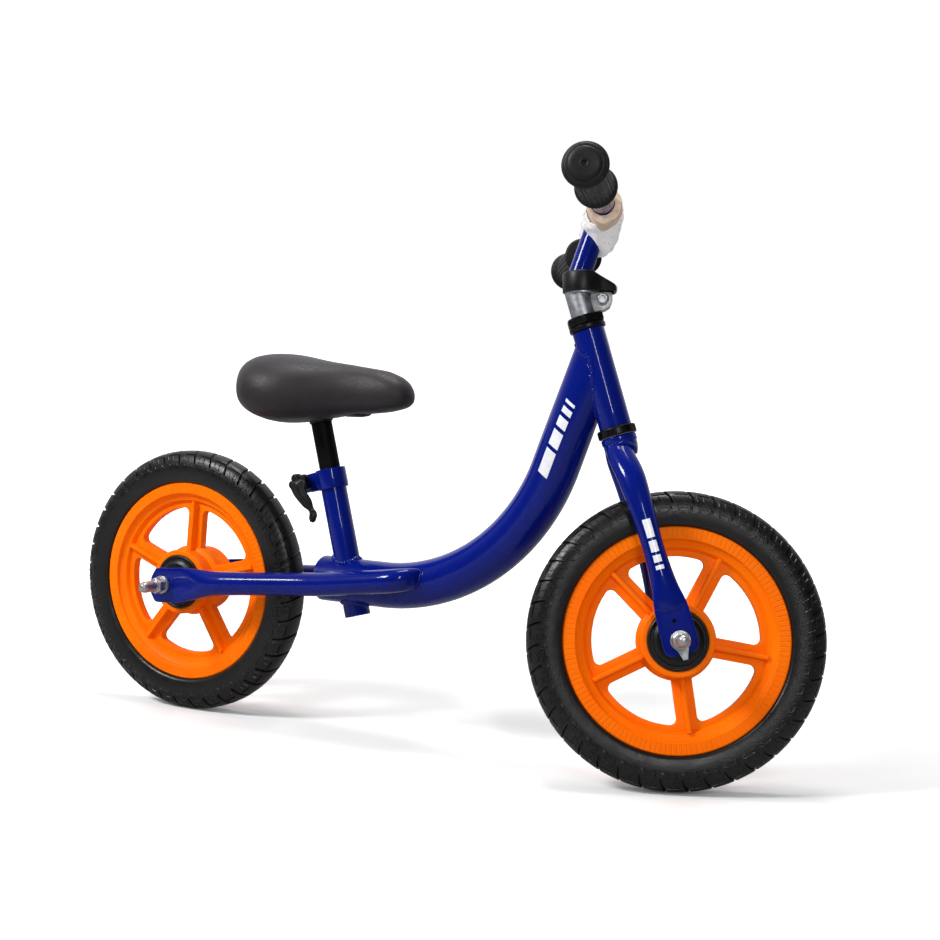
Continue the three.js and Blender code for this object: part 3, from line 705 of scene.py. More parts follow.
# ---- frame
def main_path(overrun=160.0):
    """The main tube's centre line in the bike's own plane."""
    line = [(x, 0, MAIN_HEIGHT) for x in np.linspace(MAIN_REAR, BEND_START, 12)]
    for angle in np.radians(np.linspace(0, RISE, 60))[1:]:
        line.append((BEND_START + BEND_RADIUS * math.sin(angle), 0,
                     MAIN_HEIGHT + BEND_RADIUS * (1 - math.cos(angle))))
    end = np.array(line[-1])
    forward = np.array([math.cos(math.radians(RISE)), 0, math.sin(math.radians(RISE))])
    return np.array(line + [end + forward * t for t in np.linspace(0, overrun, 24)[1:]])


def narrowing(height):
    """The main tube's width narrows to the head tube's where it meets it."""
    return 1 - 0.36 * smooth(height, 310, 430)


def squeezed(points):
    points = points.copy()
    points[..., 1] *= narrowing(points[..., 2])
    return points


def bisected(obj, point, normal):
    """Cuts away what lies on the far side of a plane and closes the cut."""
    work = bmesh.new()
    work.from_mesh(obj.data)
    geometry = work.verts[:] + work.edges[:] + work.faces[:]
    cut = bmesh.ops.bisect_plane(work, geom=geometry, plane_co=point, plane_no=normal,
                                 clear_outer=True)
    edges = [e for e in cut["geom_cut"] if isinstance(e, bmesh.types.BMEdge)]
    bmesh.ops.contextual_create(work, geom=edges)
    work.to_mesh(obj.data)
    work.free()


def main_tube():
    rows = squeezed(sweep(main_path(), (0, 1, 0), MAIN_RADIUS, 96))
    obj = piece("main_tube_skin", skin(rows), BIKE, "blue_paint", "frame", ["main_tube"])
    up = Vector(steer_axis)
    forward = LEFT.cross(up)
    at = Vector(steer_at)
    bisected(obj, at - forward * 2 * MM, forward)
    bisected(obj, at + up * (HEAD_TOP - 0.4) * MM, up)
    cap = lathe([(0, 0), (23.9, 0), (23.9, 1.4), (22.6, 3.0), (19, 4.2), (0, 4.6)], 96,
                radius=1.0, closed=False)
    cap = turned(cap, Matrix.Translation((MAIN_REAR, 0, MAIN_HEIGHT))
                 @ Matrix.Rotation(math.pi / 2, 4, "Z"))
    piece("main_tube_end", cap, BIKE, "blue_paint", "frame", ["main_tube_cap"])


HEAD_TO_BIKE = BIKE.inverted() @ HEAD
SEAT_TO_BIKE = BIKE.inverted() @ SEAT


def main_tube_gap(point):
    """How far a point of the bike's frame lies outside the main tube, in millimetres."""
    path = main_path(200)
    point = np.array([point[0], point[1] / narrowing(point[2]), point[2]])
    return np.linalg.norm(path - point, axis=1).min() - MAIN_RADIUS


def crossing(at, low, high):
    """Where a point that moves from low to high leaves the main tube."""
    for _ in range(24):
        middle = (low + high) / 2
        if main_tube_gap(at(middle)) < 0:
            low = middle
        else:
            high = middle
    return low


def head_seam():
    """The weld between main tube and head tube: up one side, round the bottom and up the other."""
    def at(along, angle):
        local = Vector((-HEAD_RADIUS * math.cos(angle), HEAD_RADIUS * math.sin(angle), along))
        return np.array(HEAD_TO_BIKE @ local)

    side = []
    for along in np.linspace(HEAD_TOP - 2, HEAD_BOTTOM + 2, 50):
        if main_tube_gap(at(along, 0)) < 0:
            side.append((along, crossing(lambda a: at(along, a), 0, math.pi / 2)))
    loop = side + [(along, -angle) for along, angle in side[::-1]]
    path = [at(*p) for p in loop]
    turn = np.array(HEAD_TO_BIKE)[:3, :3]
    normals = [turn @ [-math.cos(a), math.sin(a), 0.0] for _, a in loop]
    return bead(path, normals, 2.0, 3.2)


def seat_seam(side, radius):
    """The weld round the seat tube where it comes out of the main tube."""
    path, normals = [], []
    turn = np.array(SEAT_TO_BIKE)[:3, :3]
    for angle in np.linspace(0, TAU, 73):
        def at(along):
            local = Vector((SEAT_RADIUS * math.cos(angle), SEAT_RADIUS * math.sin(angle), along))
            return np.array(SEAT_TO_BIKE @ local)
        path.append(at(crossing(at, -37.0, side * 60.0 - 37.0)))
        normals.append(turn @ [math.cos(angle), math.sin(angle), side * 0.7])
    return bead(path, normals, radius, 3.0)


def head_tube():
    shell = ring(14.4, HEAD_RADIUS, HEAD_BOTTOM, HEAD_TOP, 96, "Z")
    piece("head_tube_shell", shell, HEAD, "blue_paint", "frame", ["head_tube"])
    piece("head_weld", head_seam(), BIKE, "blue_paint", "frame")


def seat_tube():
    shell = ring(11.5, SEAT_RADIUS, SEAT_BOTTOM, SEAT_TOP, 72, "Z", 0.4)
    piece("seat_tube_shell", shell, SEAT, "blue_paint", "frame", ["seat_tube"])
    piece("seat_tube_weld_upper", seat_seam(1, 3.2), BIKE, "blue_paint", "frame")
    piece("seat_tube_weld_lower", seat_seam(-1, 2.4), BIKE, "blue_paint", "frame")


# Sections of the right chainstay, dropout to front end: x, distance out, height, half thickness,
# half height, squareness.
STAY = [
    (-15.5, 53.5, 141.8, 2, 9.5, 6), (-12, 53.5, 142.2, 2, 15.5, 6), (-8, 53.5, 142.6, 2, 18.6, 6),
    (8, 53.5, 143.8, 2, 18.9, 6), (24, 53.5, 145.4, 2.1, 18.9, 5), (33, 53.2, 146.4, 3.2, 18.4, 3),
    (42, 52.2, 147.9, 6, 16.9, 2.3), (56, 50.6, 149.8, 10, 14.4, 2), (74, 48.6, 151.7, 12, 13, 2),
    (110, 44.2, 154.7, 12.5, 12.5, 2), (165, 38.6, 159.2, 12.5, 12.5, 2),
    (195, 37.2, 162, 12.5, 12.5, 2), (250, 37.2, 169.5, 12.5, 12.5, 2),
    (276, 36.6, 173.2, 12.5, 12.5, 2), (288, 34, 175, 12.3, 12.3, 2), (297, 28.5, 176.4, 11.6, 11.6, 2),
    (303, 21.5, 177.4, 9.5, 9.8, 2), (306, 13, 178, 6, 7, 2)]


def stay(side):
    rows = []
    for x, out, z, thick, high, power in resampled(STAY, 5):
        c, s = oval(48, power)
        # The tube is crushed flat in a V, later at its middle than at its edges.
        v = 7.0 * math.exp(-((x - 33) / 12) ** 2)
        rows.append(np.stack([x + v * (1 - abs(s)) - v / 2, side * out + side * thick * c,
                              z + high * s], -1))
    axle = rod(5.4, 40, 70, radius=0)
    drill = turned(rod(1.7, 40, 70, 20, radius=0),
                   Matrix.Translation((14, 0, 0.3)))
    tools = [turned(t if side > 0 else mirrored(t), Matrix.Translation((0, 0, TYRE_RADIUS)))
             for t in (axle, drill)]
    return skin(rows), tools


def stays():
    for name, side in (("left", 1), ("right", -1)):
        part, tools = stay(side)
        piece(f"{name}_stay_tube", part, BIKE, "blue_paint", "frame", [f"{name}_chainstay"],
              cuts=tools, sharp=40)
        piece(f"{name}_stay_weld", stay_seam(side), BIKE, "blue_paint", "frame")


def stay_seam(side):
    """The weld where a chainstay runs into the main tube's side."""
    table = resampled(STAY, 5)[::-1]
    path, normals = [], []
    for angle in np.radians(np.linspace(-62, 100, 60)):
        def at(x):
            _, out, z, thick, high, _ = (np.interp(-x, -table[:, 0], table[:, k]) for k in range(6))
            return np.array([x, side * (out + thick * math.cos(angle)), z + high * math.sin(angle)])
        path.append(at(crossing(at, 305.9, 270.0)))
        normals.append((0.7, side * math.cos(angle), math.sin(angle)))
    return bead(path, normals, 1.8, 2.8)


main_tube()
head_tube()
seat_tube()
stays()


# ---- seat
def seat_collar():
    band = ring(13.9, 16.2, 62, 83, 72, "Z", 0.7)
    outline = [(-34, 64.8), (-34, 80.4), (-30, 82), (-12, 82.6), (-12, 62.6), (-20, 63), (-30, 63)]
    ears = []
    for y0, y1 in ((1.5, 6.4), (-6.4, -1.5)):
        ears.append(skin([[(x, y, z) for x, z in outline] for y in (y0, y1)]))
    bore = rod(13.8, 40, 100, 64, "Z", 0)
    slit = block(-20, 0, -1.5, 1.5, 55, 90)
    piece("seat_collar_band", band, SEAT, "blue_paint", "frame", ["seat_collar"], cuts=[slit])
    for tag, ear in zip(("left", "right"), ears):
        piece(f"seat_collar_ear_{tag}", ear, SEAT, "blue_paint", "frame", cuts=[bore], bevel=1.2)
    at = Matrix.Translation((-27.5, 0, 72.5))
    piece("seat_skewer_rod", turned(rod(2.5, -15, 12.4, 24), at), SEAT, "steel", "frame",
          ["seat_skewer"])
    nut = lathe([(2.8, 7.2), (6.9, 7.2), (6.9, 9), (5.6, 14.4), (2.8, 14.4)], 48, radius=0.8)
    piece("skewer_thumb_nut", turned(nut, at), SEAT, "black_plastic", "frame", ["skewer_nut"])


def seat_lever():
    """A moulded cam lever: lobed head, waisted arm and a bulb at its end."""
    spine = resampled([
        (-9.5, -17, 3.4, 3.2, 3.0), (-7.5, -18.2, 3.6, 6.4, 4.8), (-3.4, -19.6, 0.4, 8.6, 5.4),
        (-2.0, -20.8, -6, 7.4, 4.6), (-0.6, -20.8, -11.5, 6.2, 4.0), (1.6, -19.6, -17, 5.8, 3.6),
        (3.6, -18, -22.5, 5.0, 3.2), (5.0, -16.8, -27, 3.2, 2.6), (5.6, -16.2, -30.4, 3.2, 2.6),
        (5.6, -16, -34.4, 4.8, 3.4), (5.8, -16, -38.6, 4.4, 3.2), (6.0, -16, -41.6, 1.8, 1.6)], 6)
    c, s = circle(32)
    rows = []
    for x, y, z, wide, thick in spine:
        ridge = 1 + 0.10 * np.cos(4 * np.arctan2(s, c))
        rows.append(np.stack([x + wide * c * ridge, y + thick * s * ridge, z + 0.5 * wide * c], -1))
    arm = skin(rows)
    barrel = turned(lathe([(0, -7.5), (6, -7.5), (7, -6.4), (7, -1), (6.2, -0.6), (6.2, 0.6), (7, 1),
                           (7, 6.4), (6, 7.5), (0, 7.5)], 48, radius=0.5, closed=False),
                    Matrix.Translation((0, -15, 0)) @ Matrix.Rotation(math.pi / 2, 4, "Z"))
    lobes = [turned(lathe([(0, -size), (size, -size), (size, size), (0, size)], 32,
                          radius=size * 0.8, closed=False), Matrix.Translation(at))
             for at, size in (((-5.4, -16.5, 7.2), 5.0), ((-10.6, -16.5, 1.4), 4.6),
                              ((3.4, -16.5, 5.6), 4.4))]
    part = turned(merged(arm, barrel, *lobes), Matrix.Translation((-27.5, 0, 72.5)))
    piece("seat_lever_cam", part, SEAT, "black_plastic", "lever", ["seat_lever"], sharp=50)


def seat_post():
    shell = ring(9.5, POST_RADIUS, -22, 150, 64, "Z", 0.4)
    piece("seat_post_tube", shell, SEAT, "matt_black", "seat", ["seat_post"])


# Saddle sections from tail to nose: x, half width, underside, top.
SADDLE = [
    (69.4, 9, 362, 376), (71.5, 22, 355, 384), (76, 35, 348.5, 390.5), (88, 52, 338, 396.4),
    (106, 63.6, 330.6, 399.4), (128, 66.6, 327.4, 398.4), (150, 61, 329.8, 395.4),
    (172, 47.6, 334, 392.8), (196, 35, 338.4, 390.8), (222, 27.4, 341.6, 388.4),
    (248, 24, 345, 385.4), (264, 20, 348, 380), (273, 13.5, 351, 372), (276.8, 6, 354.5, 364)]


def saddle_rows(inset=0.0, count=72):
    rows = []
    for x, half, under, top in resampled(SADDLE, 4):
        angles = np.arange(count) * TAU / count
        c, s = np.cos(angles), np.sin(angles)
        middle = under + (top - under) * 0.40
        upper = (top - middle) * np.abs(s) ** 0.86
        lower = (middle - under) * np.abs(s) ** 0.66
        y = (half - inset) * np.sign(c) * np.abs(c) ** 0.86
        z = middle + np.where(s > 0, upper, -lower)
        rows.append(np.stack([np.full(count, x), y, z], -1))
    return np.array(rows)


def saddle():
    obj = piece("saddle_cushion", skin(saddle_rows(0.6)), BIKE, "saddle_cover", "seat",
                ["saddle_pad"], sharp=180)
    puffed(obj, cap=2.0)
    under = skin([[(x, half * math.cos(a), 344 + depth * math.sin(a))
                   for a in np.linspace(0, TAU, 49)[:-1]]
                  for x, half, depth in ((186, 2, 3), (188, 9, 6), (198, 13, 7.5), (214, 13, 7),
                                         (222, 9, 5.5), (224.5, 2, 3))])
    piece("saddle_nose_base", under, BIKE, "black_plastic", "seat", sharp=60)
    pan = []
    for x, half, low, _ in resampled(SADDLE[3:12], 3):
        c, s = oval(48, 2.6)
        pan.append(np.stack([np.full(48, x), (half - 15) * c, low + 9 + 6.2 * s], -1))
    piece("saddle_base_pan", skin(pan), BIKE, "black_plastic", "seat", ["saddle_pan"], sharp=60)
    socket = lathe([(11.3, 133.5), (12.4, 133.5), (13.4, 146), (11.3, 146)], 64, "Z", 0.5)
    piece("saddle_socket", socket, SEAT, "black_plastic", "seat")


def puffed(obj, cap):
    """Runs the cloth step that fills a padded piece, then keeps each point near where it was."""
    modify(obj, "REMESH", mode="VOXEL", voxel_size=0.005, use_smooth_shade=True)
    start = np.zeros(len(obj.data.vertices) * 3)
    obj.data.vertices.foreach_get("co", start)
    cloth = obj.modifiers.new("Cloth", "CLOTH")
    cloth.settings.use_pressure = True
    cloth.settings.uniform_pressure_force = 4
    cloth.settings.effector_weights.gravity = 0
    scene = bpy.context.scene
    for step in range(1, 21):
        scene.frame_set(step)
    result = evaluated(obj)
    end = np.zeros_like(start)
    result.vertices.foreach_get("co", end)
    obj.modifiers.clear()
    scene.frame_set(1)
    move = (end - start).reshape(-1, 3)
    length = np.linalg.norm(move, axis=1)[:, None]
    move *= np.minimum(1, cap * MM / np.maximum(length, 1e-9))
    obj.data.vertices.foreach_set("co", (start.reshape(-1, 3) + move * 0.6).ravel())
    modify(obj, "SMOOTH", factor=0.5, iterations=6)
    modify(obj, "SUBSURF", levels=1, render_levels=1)
    obj.data.shade_smooth()


seat_collar()
seat_lever()
seat_post()
saddle()


# ---- fork and headset
# Sections of the left blade: along the axis, distance out, forward offset, half width, half
# thickness, squareness.
BLADE = [
    (201, 4, -4, 11, 7, 2), (194, 9, -3.9, 12, 9.4, 2), (184, 15, -3.4, 13, 10.8, 2),
    (172, 22, -1.8, 13.5, 11.5, 2), (158, 28.5, -0.6, 13.2, 11.5, 2), (138, 34, -0.3, 12.2, 11, 2),
    (112, 38.5, 0, 10.8, 10.5, 2), (86, 41.5, 0, 10.4, 10.3, 2), (60, 44.4, 0, 11.8, 8.6, 2.1),
    (44, 46.6, 0, 13.6, 5.9, 2.5), (33, 47.7, 0, 15.2, 3.3, 3.4), (30.5, 47.9, 0, 15.6, 2.5, 5),
    (29, 48, 0, 15.8, 2, 6), (24, 48, 0, 16.3, 2, 6),
    (8, 48, -0.4, 16.8, 2, 6), (-6, 48, -0.6, 16.6, 2, 6), (-10.5, 48, -0.6, 14.6, 2, 6),
    (-13.5, 48, -0.6, 9.5, 2, 6)]


def blade(side):
    rows = []
    for along, out, forward, half, thick, power in resampled(BLADE, 5):
        c, s = oval(48, power)
        v = 9.0 * math.exp(-((along - 32) / 13) ** 2)
        rows.append(np.stack([forward + half * c, side * (out + thick * s),
                              along - v * (1 - abs(c)) + v / 2], -1))
    hole = rod(5.4, 40, 60, radius=0)
    drill = turned(rod(2.1, 40, 60, 24, radius=0),
                   Matrix.Translation((-0.6, 0, 19.6)))
    slot = block(-5.3, 5.3, 40, 60, -30, 0)
    tools = [t if side > 0 else mirrored(t) for t in (hole, drill, slot)]
    return skin(rows), tools


def fork():
    for name, side in (("left", 1), ("right", -1)):
        part, tools = blade(side)
        piece(f"{name}_blade_tube", part, FORK, "blue_paint", "fork", [f"{name}_fork_blade"],
              cuts=tools, sharp=40)
    crown = lathe([(12.8, 184), (13.8, 184), (15.6, 189), (16.6, 194), (16.6, 197.6), (17.4, 199),
                   (17.6, 203.2), (16.4, 204.2), (12.8, 204.2)], 96, "Z", 0.8)
    piece("fork_crown_sleeve", crown, FORK, "blue_paint", "fork", ["fork_crown"])
    for name, side in (("left", 1), ("right", -1)):
        seam = []
        for angle in np.linspace(-0.8, 0.8, 24):
            seam.append((16.9 * math.sin(angle), side * 16.9 * math.cos(angle),
                         196.5 - 15 * (1 - math.cos(angle * 1.25))))
        normals = [(p[0] / 17, p[1] / 17, 0.5) for p in seam]
        piece(f"crown_weld_{name}", bead(seam, normals, 1.8, 3.0), FORK, "blue_paint", "fork")
    race = lathe([(12.9, 204.3), (16.6, 204.3), (17.2, 205), (16.4, 206.4), (12.9, 206.4)], 72, "Z")
    piece("crown_race_ring", race, FORK, "zinc", "fork", ["crown_race"])
    steerer = ring(STEERER_BORE, STEERER_RADIUS, 186, STEERER_TOP, 72, "Z", 0.3)
    piece("steerer_shell", steerer, FORK, "zinc", "fork", ["steerer_tube"],
          cuts=[block(5, 20, -1.5, 1.5, 322, 360)])


def notches(low, high, radius, count, depth):
    """Tools that cut small square notches into a ring round the steering axis."""
    tools = []
    for i in range(count):
        notch = block(radius - depth, radius + 4, -1.6, 1.6, low, high)
        tools.append(turned(notch, Matrix.Rotation(i * TAU / count, 4, "Z")))
    return merged(*tools)


def headset():
    lower = lathe([(16.6, 204.9), (18.6, 204.9), (19.1, 206), (19.1, 212), (18.4, 213.2), (14, 213.2),
                   (14, 219), (13.3, 219), (13.3, 211), (16.6, 211)], 96, "Z", 0.35)
    piece("lower_cup_ring", lower, HEAD, "black_paint", "frame", ["lower_headset_cup"],
          cuts=[notches(206.4, 211.4, 19.1, 12, 1.1)])
    upper = lathe([(13.3, 307), (14, 307), (14, 312.9), (17.4, 312.9), (18, 313.8), (18, 317),
                   (17.4, 317.6), (16.9, 317.6), (16.9, 314.6), (13.3, 314.6)], 96, "Z", 0.3)
    piece("upper_cup_ring", upper, HEAD, "black_paint", "frame", ["upper_headset_cup"])
    for tag, low, high, radius in (("lower", 206.8, 210.6, 16), ("upper", 314.9, 317.6, 16.3)):
        race = ring(13.3, radius, low, high, 64, "Z", 0.3)
        piece(f"{tag}_bearing_race", race, HEAD, "steel", "frame", [f"{tag}_headset_bearing"])
    nut = turned(hexagon(34.4, 318, 326.8, 1.4), Matrix.Rotation(math.pi / 2, 4, "X"))
    bore = rod(13, 300, 340, 64, "Z", 0)
    piece("headset_lock_nut", nut, FORK, "black_paint", "fork", ["headset_nut"], cuts=[bore])


fork()
headset()


# ---- stem, clamp and bars
def stem_path():
    line = [(0, 0, z) for z in np.linspace(255, STEM_BEND, 6)]
    for angle in np.radians(np.linspace(0, STEM_ANGLE, 24))[1:]:
        line.append((STEM_BEND_RADIUS * (1 - math.cos(angle)), 0,
                     STEM_BEND + STEM_BEND_RADIUS * math.sin(angle)))
    start, end = np.array(line[-1]), np.array([BAR_FORWARD - 4.5, 0, BAR_HEIGHT])
    return np.array(line + [start + (end - start) * t for t in np.linspace(0, 0.86, 10)[1:]])


# Distance out from the middle, swept back, raised.
SWEEP = [(0, 0, 0), (45, 0, 0), (80, 2.8, 0.5), (143, 11.2, 1.4), (235, 25.3, 5.0)]


def bar_path():
    half = resampled(SWEEP, 8)
    right = [(BAR_FORWARD - back, -out, BAR_HEIGHT + up) for out, back, up in half[::-1]]
    left = [(BAR_FORWARD - back, out, BAR_HEIGHT + up) for out, back, up in half[1:]]
    return np.array(right + left)


def grip():
    """A ribbed sleeve with a stepped disc at its outer end."""
    count, ribs = 144, 24
    angles = np.arange(count) * TAU / count
    wave = 0.5 - 0.5 * np.cos(angles * ribs)
    profile = [
        (11.5, 0, 0), (18.2, 0, 0), (19.4, 0.8, 0), (19.9, 2.4, 0), (19.4, 4.0, 0), (18, 5.4, 0),
        (17.6, 6.4, 0.2), (17.5, 8, 1), (17.4, 30, 1), (17.2, 55, 1), (17.2, 74, 1),
        (17.4, 76, 0.3), (18.2, 78, 0), (19.8, 79.4, 0), (20.8, 80.6, 0), (21.0, 82, 0),
        (20.6, 83.4, 0), (19.8, 84.2, 0), (19.0, 84.4, 0), (18.8, 86.0, 0), (18.0, 87.0, 0),
        (16.2, 87.3, 0), (15.4, 87.4, 0), (15.0, 89.4, 0), (14.0, 90.3, 0), (11, 90.8, 0),
        (6, 91.3, 0), (3.0, 91.4, 0), (2.3, 91.0, 0), (2.1, 88.3, 0), (0.02, 88.2, 0)]
    rows = []
    for r, y, ribbed in profile:
        radius = r - 1.1 * ribbed * wave
        rows.append(np.stack([radius * np.cos(angles), np.full(count, y), radius * np.sin(angles)],
                             -1))
    at = Matrix.Translation((BAR_FORWARD - GRIP_BACK, GRIP_INNER, BAR_HEIGHT + GRIP_UP))
    return turned(skin(rows), at @ Matrix.Rotation(math.atan2(14.1, 92), 4, "Z")
                  @ Matrix.Rotation(math.radians(GRIP_RISE), 4, "X"))


def foam_rows():
    """The foam sleeve: a thick split tube with a square-cut end and a soft corner underneath."""
    along = np.linspace(-86, 70, 50)
    angles = np.arange(96) * TAU / 96
    corner = np.exp(-((angles - math.radians(250)) / 0.32) ** 2)
    soft = 0.35 * np.sin(3 * angles + 0.6) + 0.25 * np.sin(5 * angles)
    outer = FOAM_RADIUS + 1.6 * corner + soft
    inner = np.full(96, FOAM_BORE)
    back = np.interp(abs(along), [0, 45, 80, 90], [0, 0, 2.8, 4])
    rows = []
    for y, shift in zip(along, back):
        r = outer + 0.25 * np.sin(y * 0.31 + 3 * angles)
        rows.append(foam_ring(y, shift, r, angles))
    rows.insert(0, foam_ring(-86.6, 2.6, outer - 1.0, angles))
    rows.append(foam_ring(70.6, 1.8, outer - 1.0, angles))
    for y, shift in zip(along[::-1], back[::-1]):
        rows.append(foam_ring(y, shift, inner, angles))
    return rows


def foam_ring(y, back, radius, angles):
    sag = 1.2 if np.max(radius) > 13 else 0.0
    return np.stack([BAR_FORWARD - back + sag + radius * np.cos(angles), np.full(len(angles), y),
                     BAR_HEIGHT - sag + radius * np.sin(angles)], -1)


def wrap_sheet():
    """The packing sheet: once round the foam, with a corner that hangs in front of the stem."""
    turns = np.radians(np.linspace(-215, 168, 120))
    rows = []
    for share in np.linspace(0, 1, 56):
        line = []
        for angle in turns:
            near = -56 + 4.0 * math.sin(angle * 1.5 + 0.6) + 2.0 * math.sin(angle * 4)
            far = 58 + 5.0 * math.sin(angle * 1.2 + 2.0)
            y = near + (far - near) * share
            crease = abs(((angle * 2.4 + y * 0.045) % 2.0) - 1.0)
            crumple = 1.1 * crease + 0.4 * math.sin(7 * angle - y * 0.15)
            corner = 13 * math.exp(-((angle + 1.8) / 0.38) ** 2 - ((y - 8) / 26) ** 2)
            lap = 0.9 if angle < math.radians(-192) else 0.0
            snug = 1.0 * smooth(share, 0.12, 0.0)
            radius = WRAP_RADIUS + crumple * smooth(share, 0.0, 0.15) + corner + lap - snug
            line.append((BAR_FORWARD + radius * math.cos(angle), y,
                         BAR_HEIGHT + radius * math.sin(angle)))
        rows.append(line)
    rows = np.array(rows)
    count, around = rows.shape[:2]
    faces = [[i * around + j, i * around + j + 1, (i + 1) * around + j + 1, (i + 1) * around + j]
             for i in range(count - 1) for j in range(around - 1)]
    return rows.reshape(-1, 3), faces


def clamp_frame():
    return Matrix.Translation((-1, 0, 338)) @ Matrix.Rotation(math.radians(CLAMP_TILT), 4, "Y")


def stem_clamp():
    at = clamp_frame()
    bore = lathe([(0, 300), (13.1, 300), (13.1, 347.4), (11.5, 347.5), (11.5, 380), (0, 380)],
                 64, "Z", 0, closed=False)
    band = turned(ring(11, 16.4, 11, 26, 96, "Z", 0.6), Matrix.Translation((2, 0, 0)))
    piece("clamp_band", turned(band, at), FORK, "zinc", "fork", ["stem_clamp"])
    for tag, side in (("left", 1), ("right", -1)):
        # Each ear is a bent strip: flat beside the bolt, curling down and in to the band.
        line = [(10, 12), (29.5, 12), (31, 10), (31, 3), (29, -1.5), (24, -4.6), (16, -6.6),
                (9, -7.4), (8, -6), (8.6, -2)]
        rows = [[(x, side * y, z) for x, z in line] for y in (1.6, 5.6, 8.8)]
        ear = turned(skin(rows), at)
        piece(f"clamp_ear_{tag}", ear, FORK, "steel", "fork", cuts=[bore], bevel=0.9)


def clamp_cover():
    """The cover over the clamp: round behind, square in front, its top sloping down forward."""
    at = clamp_frame()
    angles = np.linspace(math.radians(52), TAU - math.radians(52), 60)
    outline = [(2 + 19.2 * math.cos(a), 19.2 * math.sin(a)) for a in angles]
    outline += [(22, -12.4), (31, -12.2), (34.4, -10.8), (35.2, -8), (35.2, 8), (34.4, 10.8),
                (31, 12.2), (22, 12.4)]
    outline = np.array(outline)
    middle = outline.mean(0)
    inward = (middle - outline) / np.linalg.norm(middle - outline, axis=1)[:, None]
    around = np.arctan2(outline[:, 1], outline[:, 0] - 0.5)
    stem_hole = np.stack([0.5 + 12.4 * np.cos(around), 12.4 * np.sin(around)], -1)

    def level(flat, z, drop=0.0):
        top = 32.8 - 0.6 * np.maximum(0, flat[:, 0] - 11.7) - drop
        return np.column_stack([flat, np.minimum(z, top)])

    rows = [level(outline + inward * 0.7, 13), level(outline + inward * 0.2, 13.3), level(outline, 14),
            level(outline, 60, 1.6), level(outline + inward * 0.3, 60, 0.7),
            level(outline + inward * 1.0, 60, 0.1), level(outline + inward * 2.0, 60),
            level(stem_hole, 60), level(stem_hole, 60, 2.4), level(outline + inward * 2.2, 60, 2.4),
            level(outline + inward * 2.2, 13)]
    part = turned(skin(rows, loop=True), at)
    piece("clamp_cover_shell", part, FORK, "black_plastic", "fork", ["clamp_cover"], sharp=35)
    edge = turned(skin([[(35.1, y, z) for y, z in ((-9, 13.6), (9, 13.6), (9, 18.2), (-9, 18.2))],
                        [(36.0, y, z) for y, z in ((-8.4, 14), (8.4, 14), (8.4, 17.8),
                                                   (-8.4, 17.8))]]), at)
    piece("clamp_cover_edge", edge, FORK, "cream_foam", "fork")


def clamp_bolt():
    at = clamp_frame() @ Matrix.Translation((21.2, 0, 5))
    shank = lathe([(0, -9), (3, -9), (3, 14.6), (2.4, 15.4), (0, 15.4)], 32, closed=False)
    head = lathe([(0, -9.2), (6.4, -9.2), (6.4, -10.4), (5.2, -10.8), (5.2, -14), (4.4, -14.8),
                  (2.9, -14.8), (2.9, -12), (0, -12)], 48, radius=0.3, closed=False)
    piece("clamp_bolt_screw", turned(merged(shank, head), at), FORK, "zinc", "fork",
          ["clamp_bolt"])
    piece("clamp_hex_nut", turned(hexagon(10.4, 9.4, 14.3, 0.8), at), FORK, "zinc", "fork",
          ["clamp_nut"])


def bars():
    stem_skin = skin(sweep(stem_path(), (0, 1, 0), STEM_RADIUS, 64))
    piece("stem_skin", stem_skin, FORK, "blue_paint", "handlebar", ["stem_tube"])
    bar_skin = skin(sweep(bar_path(), (0, 0, 1), BAR_RADIUS, 64))
    piece("bar_skin", bar_skin, FORK, "blue_paint", "handlebar", ["handlebar_tube"])
    piece("left_grip_sleeve", grip(), FORK, "grip_rubber", "handlebar", ["left_grip"], sharp=50)
    piece("right_grip_sleeve", mirrored(grip()), FORK, "grip_rubber", "handlebar", ["right_grip"],
          sharp=50)
    foam = piece("foam_sleeve", skin(foam_rows(), loop=True), FORK, "cream_foam", "handlebar",
                 ["bar_foam"], sharp=50)
    wrap = piece("wrap_sheet", wrap_sheet(), FORK, "packing_wrap", "handlebar", ["bar_wrap"],
                 sharp=180)
    modify(wrap, "SOLIDIFY", thickness=0.0005, offset=1.0)


stem_clamp()
clamp_cover()
clamp_bolt()
bars()


# ---- painted marks: plain stripes in place of lettering
def slab(surface, u0, u1, v0, v1, slant=0.0, lift=0.3, nu=10, nv=8):
    """A thin closed patch on a surface. The surface gives (point, normal) at (u, v)."""
    layers = []
    for height in (-0.4, lift):
        grid = []
        for i in range(nu + 1):
            row = []
            for j in range(nv + 1):
                v = v0 + (v1 - v0) * j / nv
                u = u0 + (u1 - u0) * i / nu + slant * (v - v0)
                point, normal = surface(u, v)
                row.append(point + normal * height)
            grid.append(row)
        layers.append(np.array(grid))
    ring = [(i, 0) for i in range(nu)] + [(nu, j) for j in range(nv)]
    ring += [(i, nv) for i in range(nu, 0, -1)] + [(0, j) for j in range(nv, 0, -1)]
    points = np.concatenate([layer.reshape(-1, 3) for layer in layers])
    size = (nu + 1) * (nv + 1)

    def index(layer, i, j):
        return layer * size + i * (nv + 1) + j

    faces = []
    for layer in (0, 1):
        faces += [[index(layer, i, j), index(layer, i + 1, j), index(layer, i + 1, j + 1),
                   index(layer, i, j + 1)] for i in range(nu) for j in range(nv)]
    for (i, j), (k, m) in zip(ring, ring[1:] + ring[:1]):
        faces.append([index(0, i, j), index(0, k, m), index(1, k, m), index(1, i, j)])
    return points, faces


PATH = main_path()
PATH_LENGTH = np.concatenate([[0], np.cumsum(np.linalg.norm(np.diff(PATH, axis=0), axis=1))])


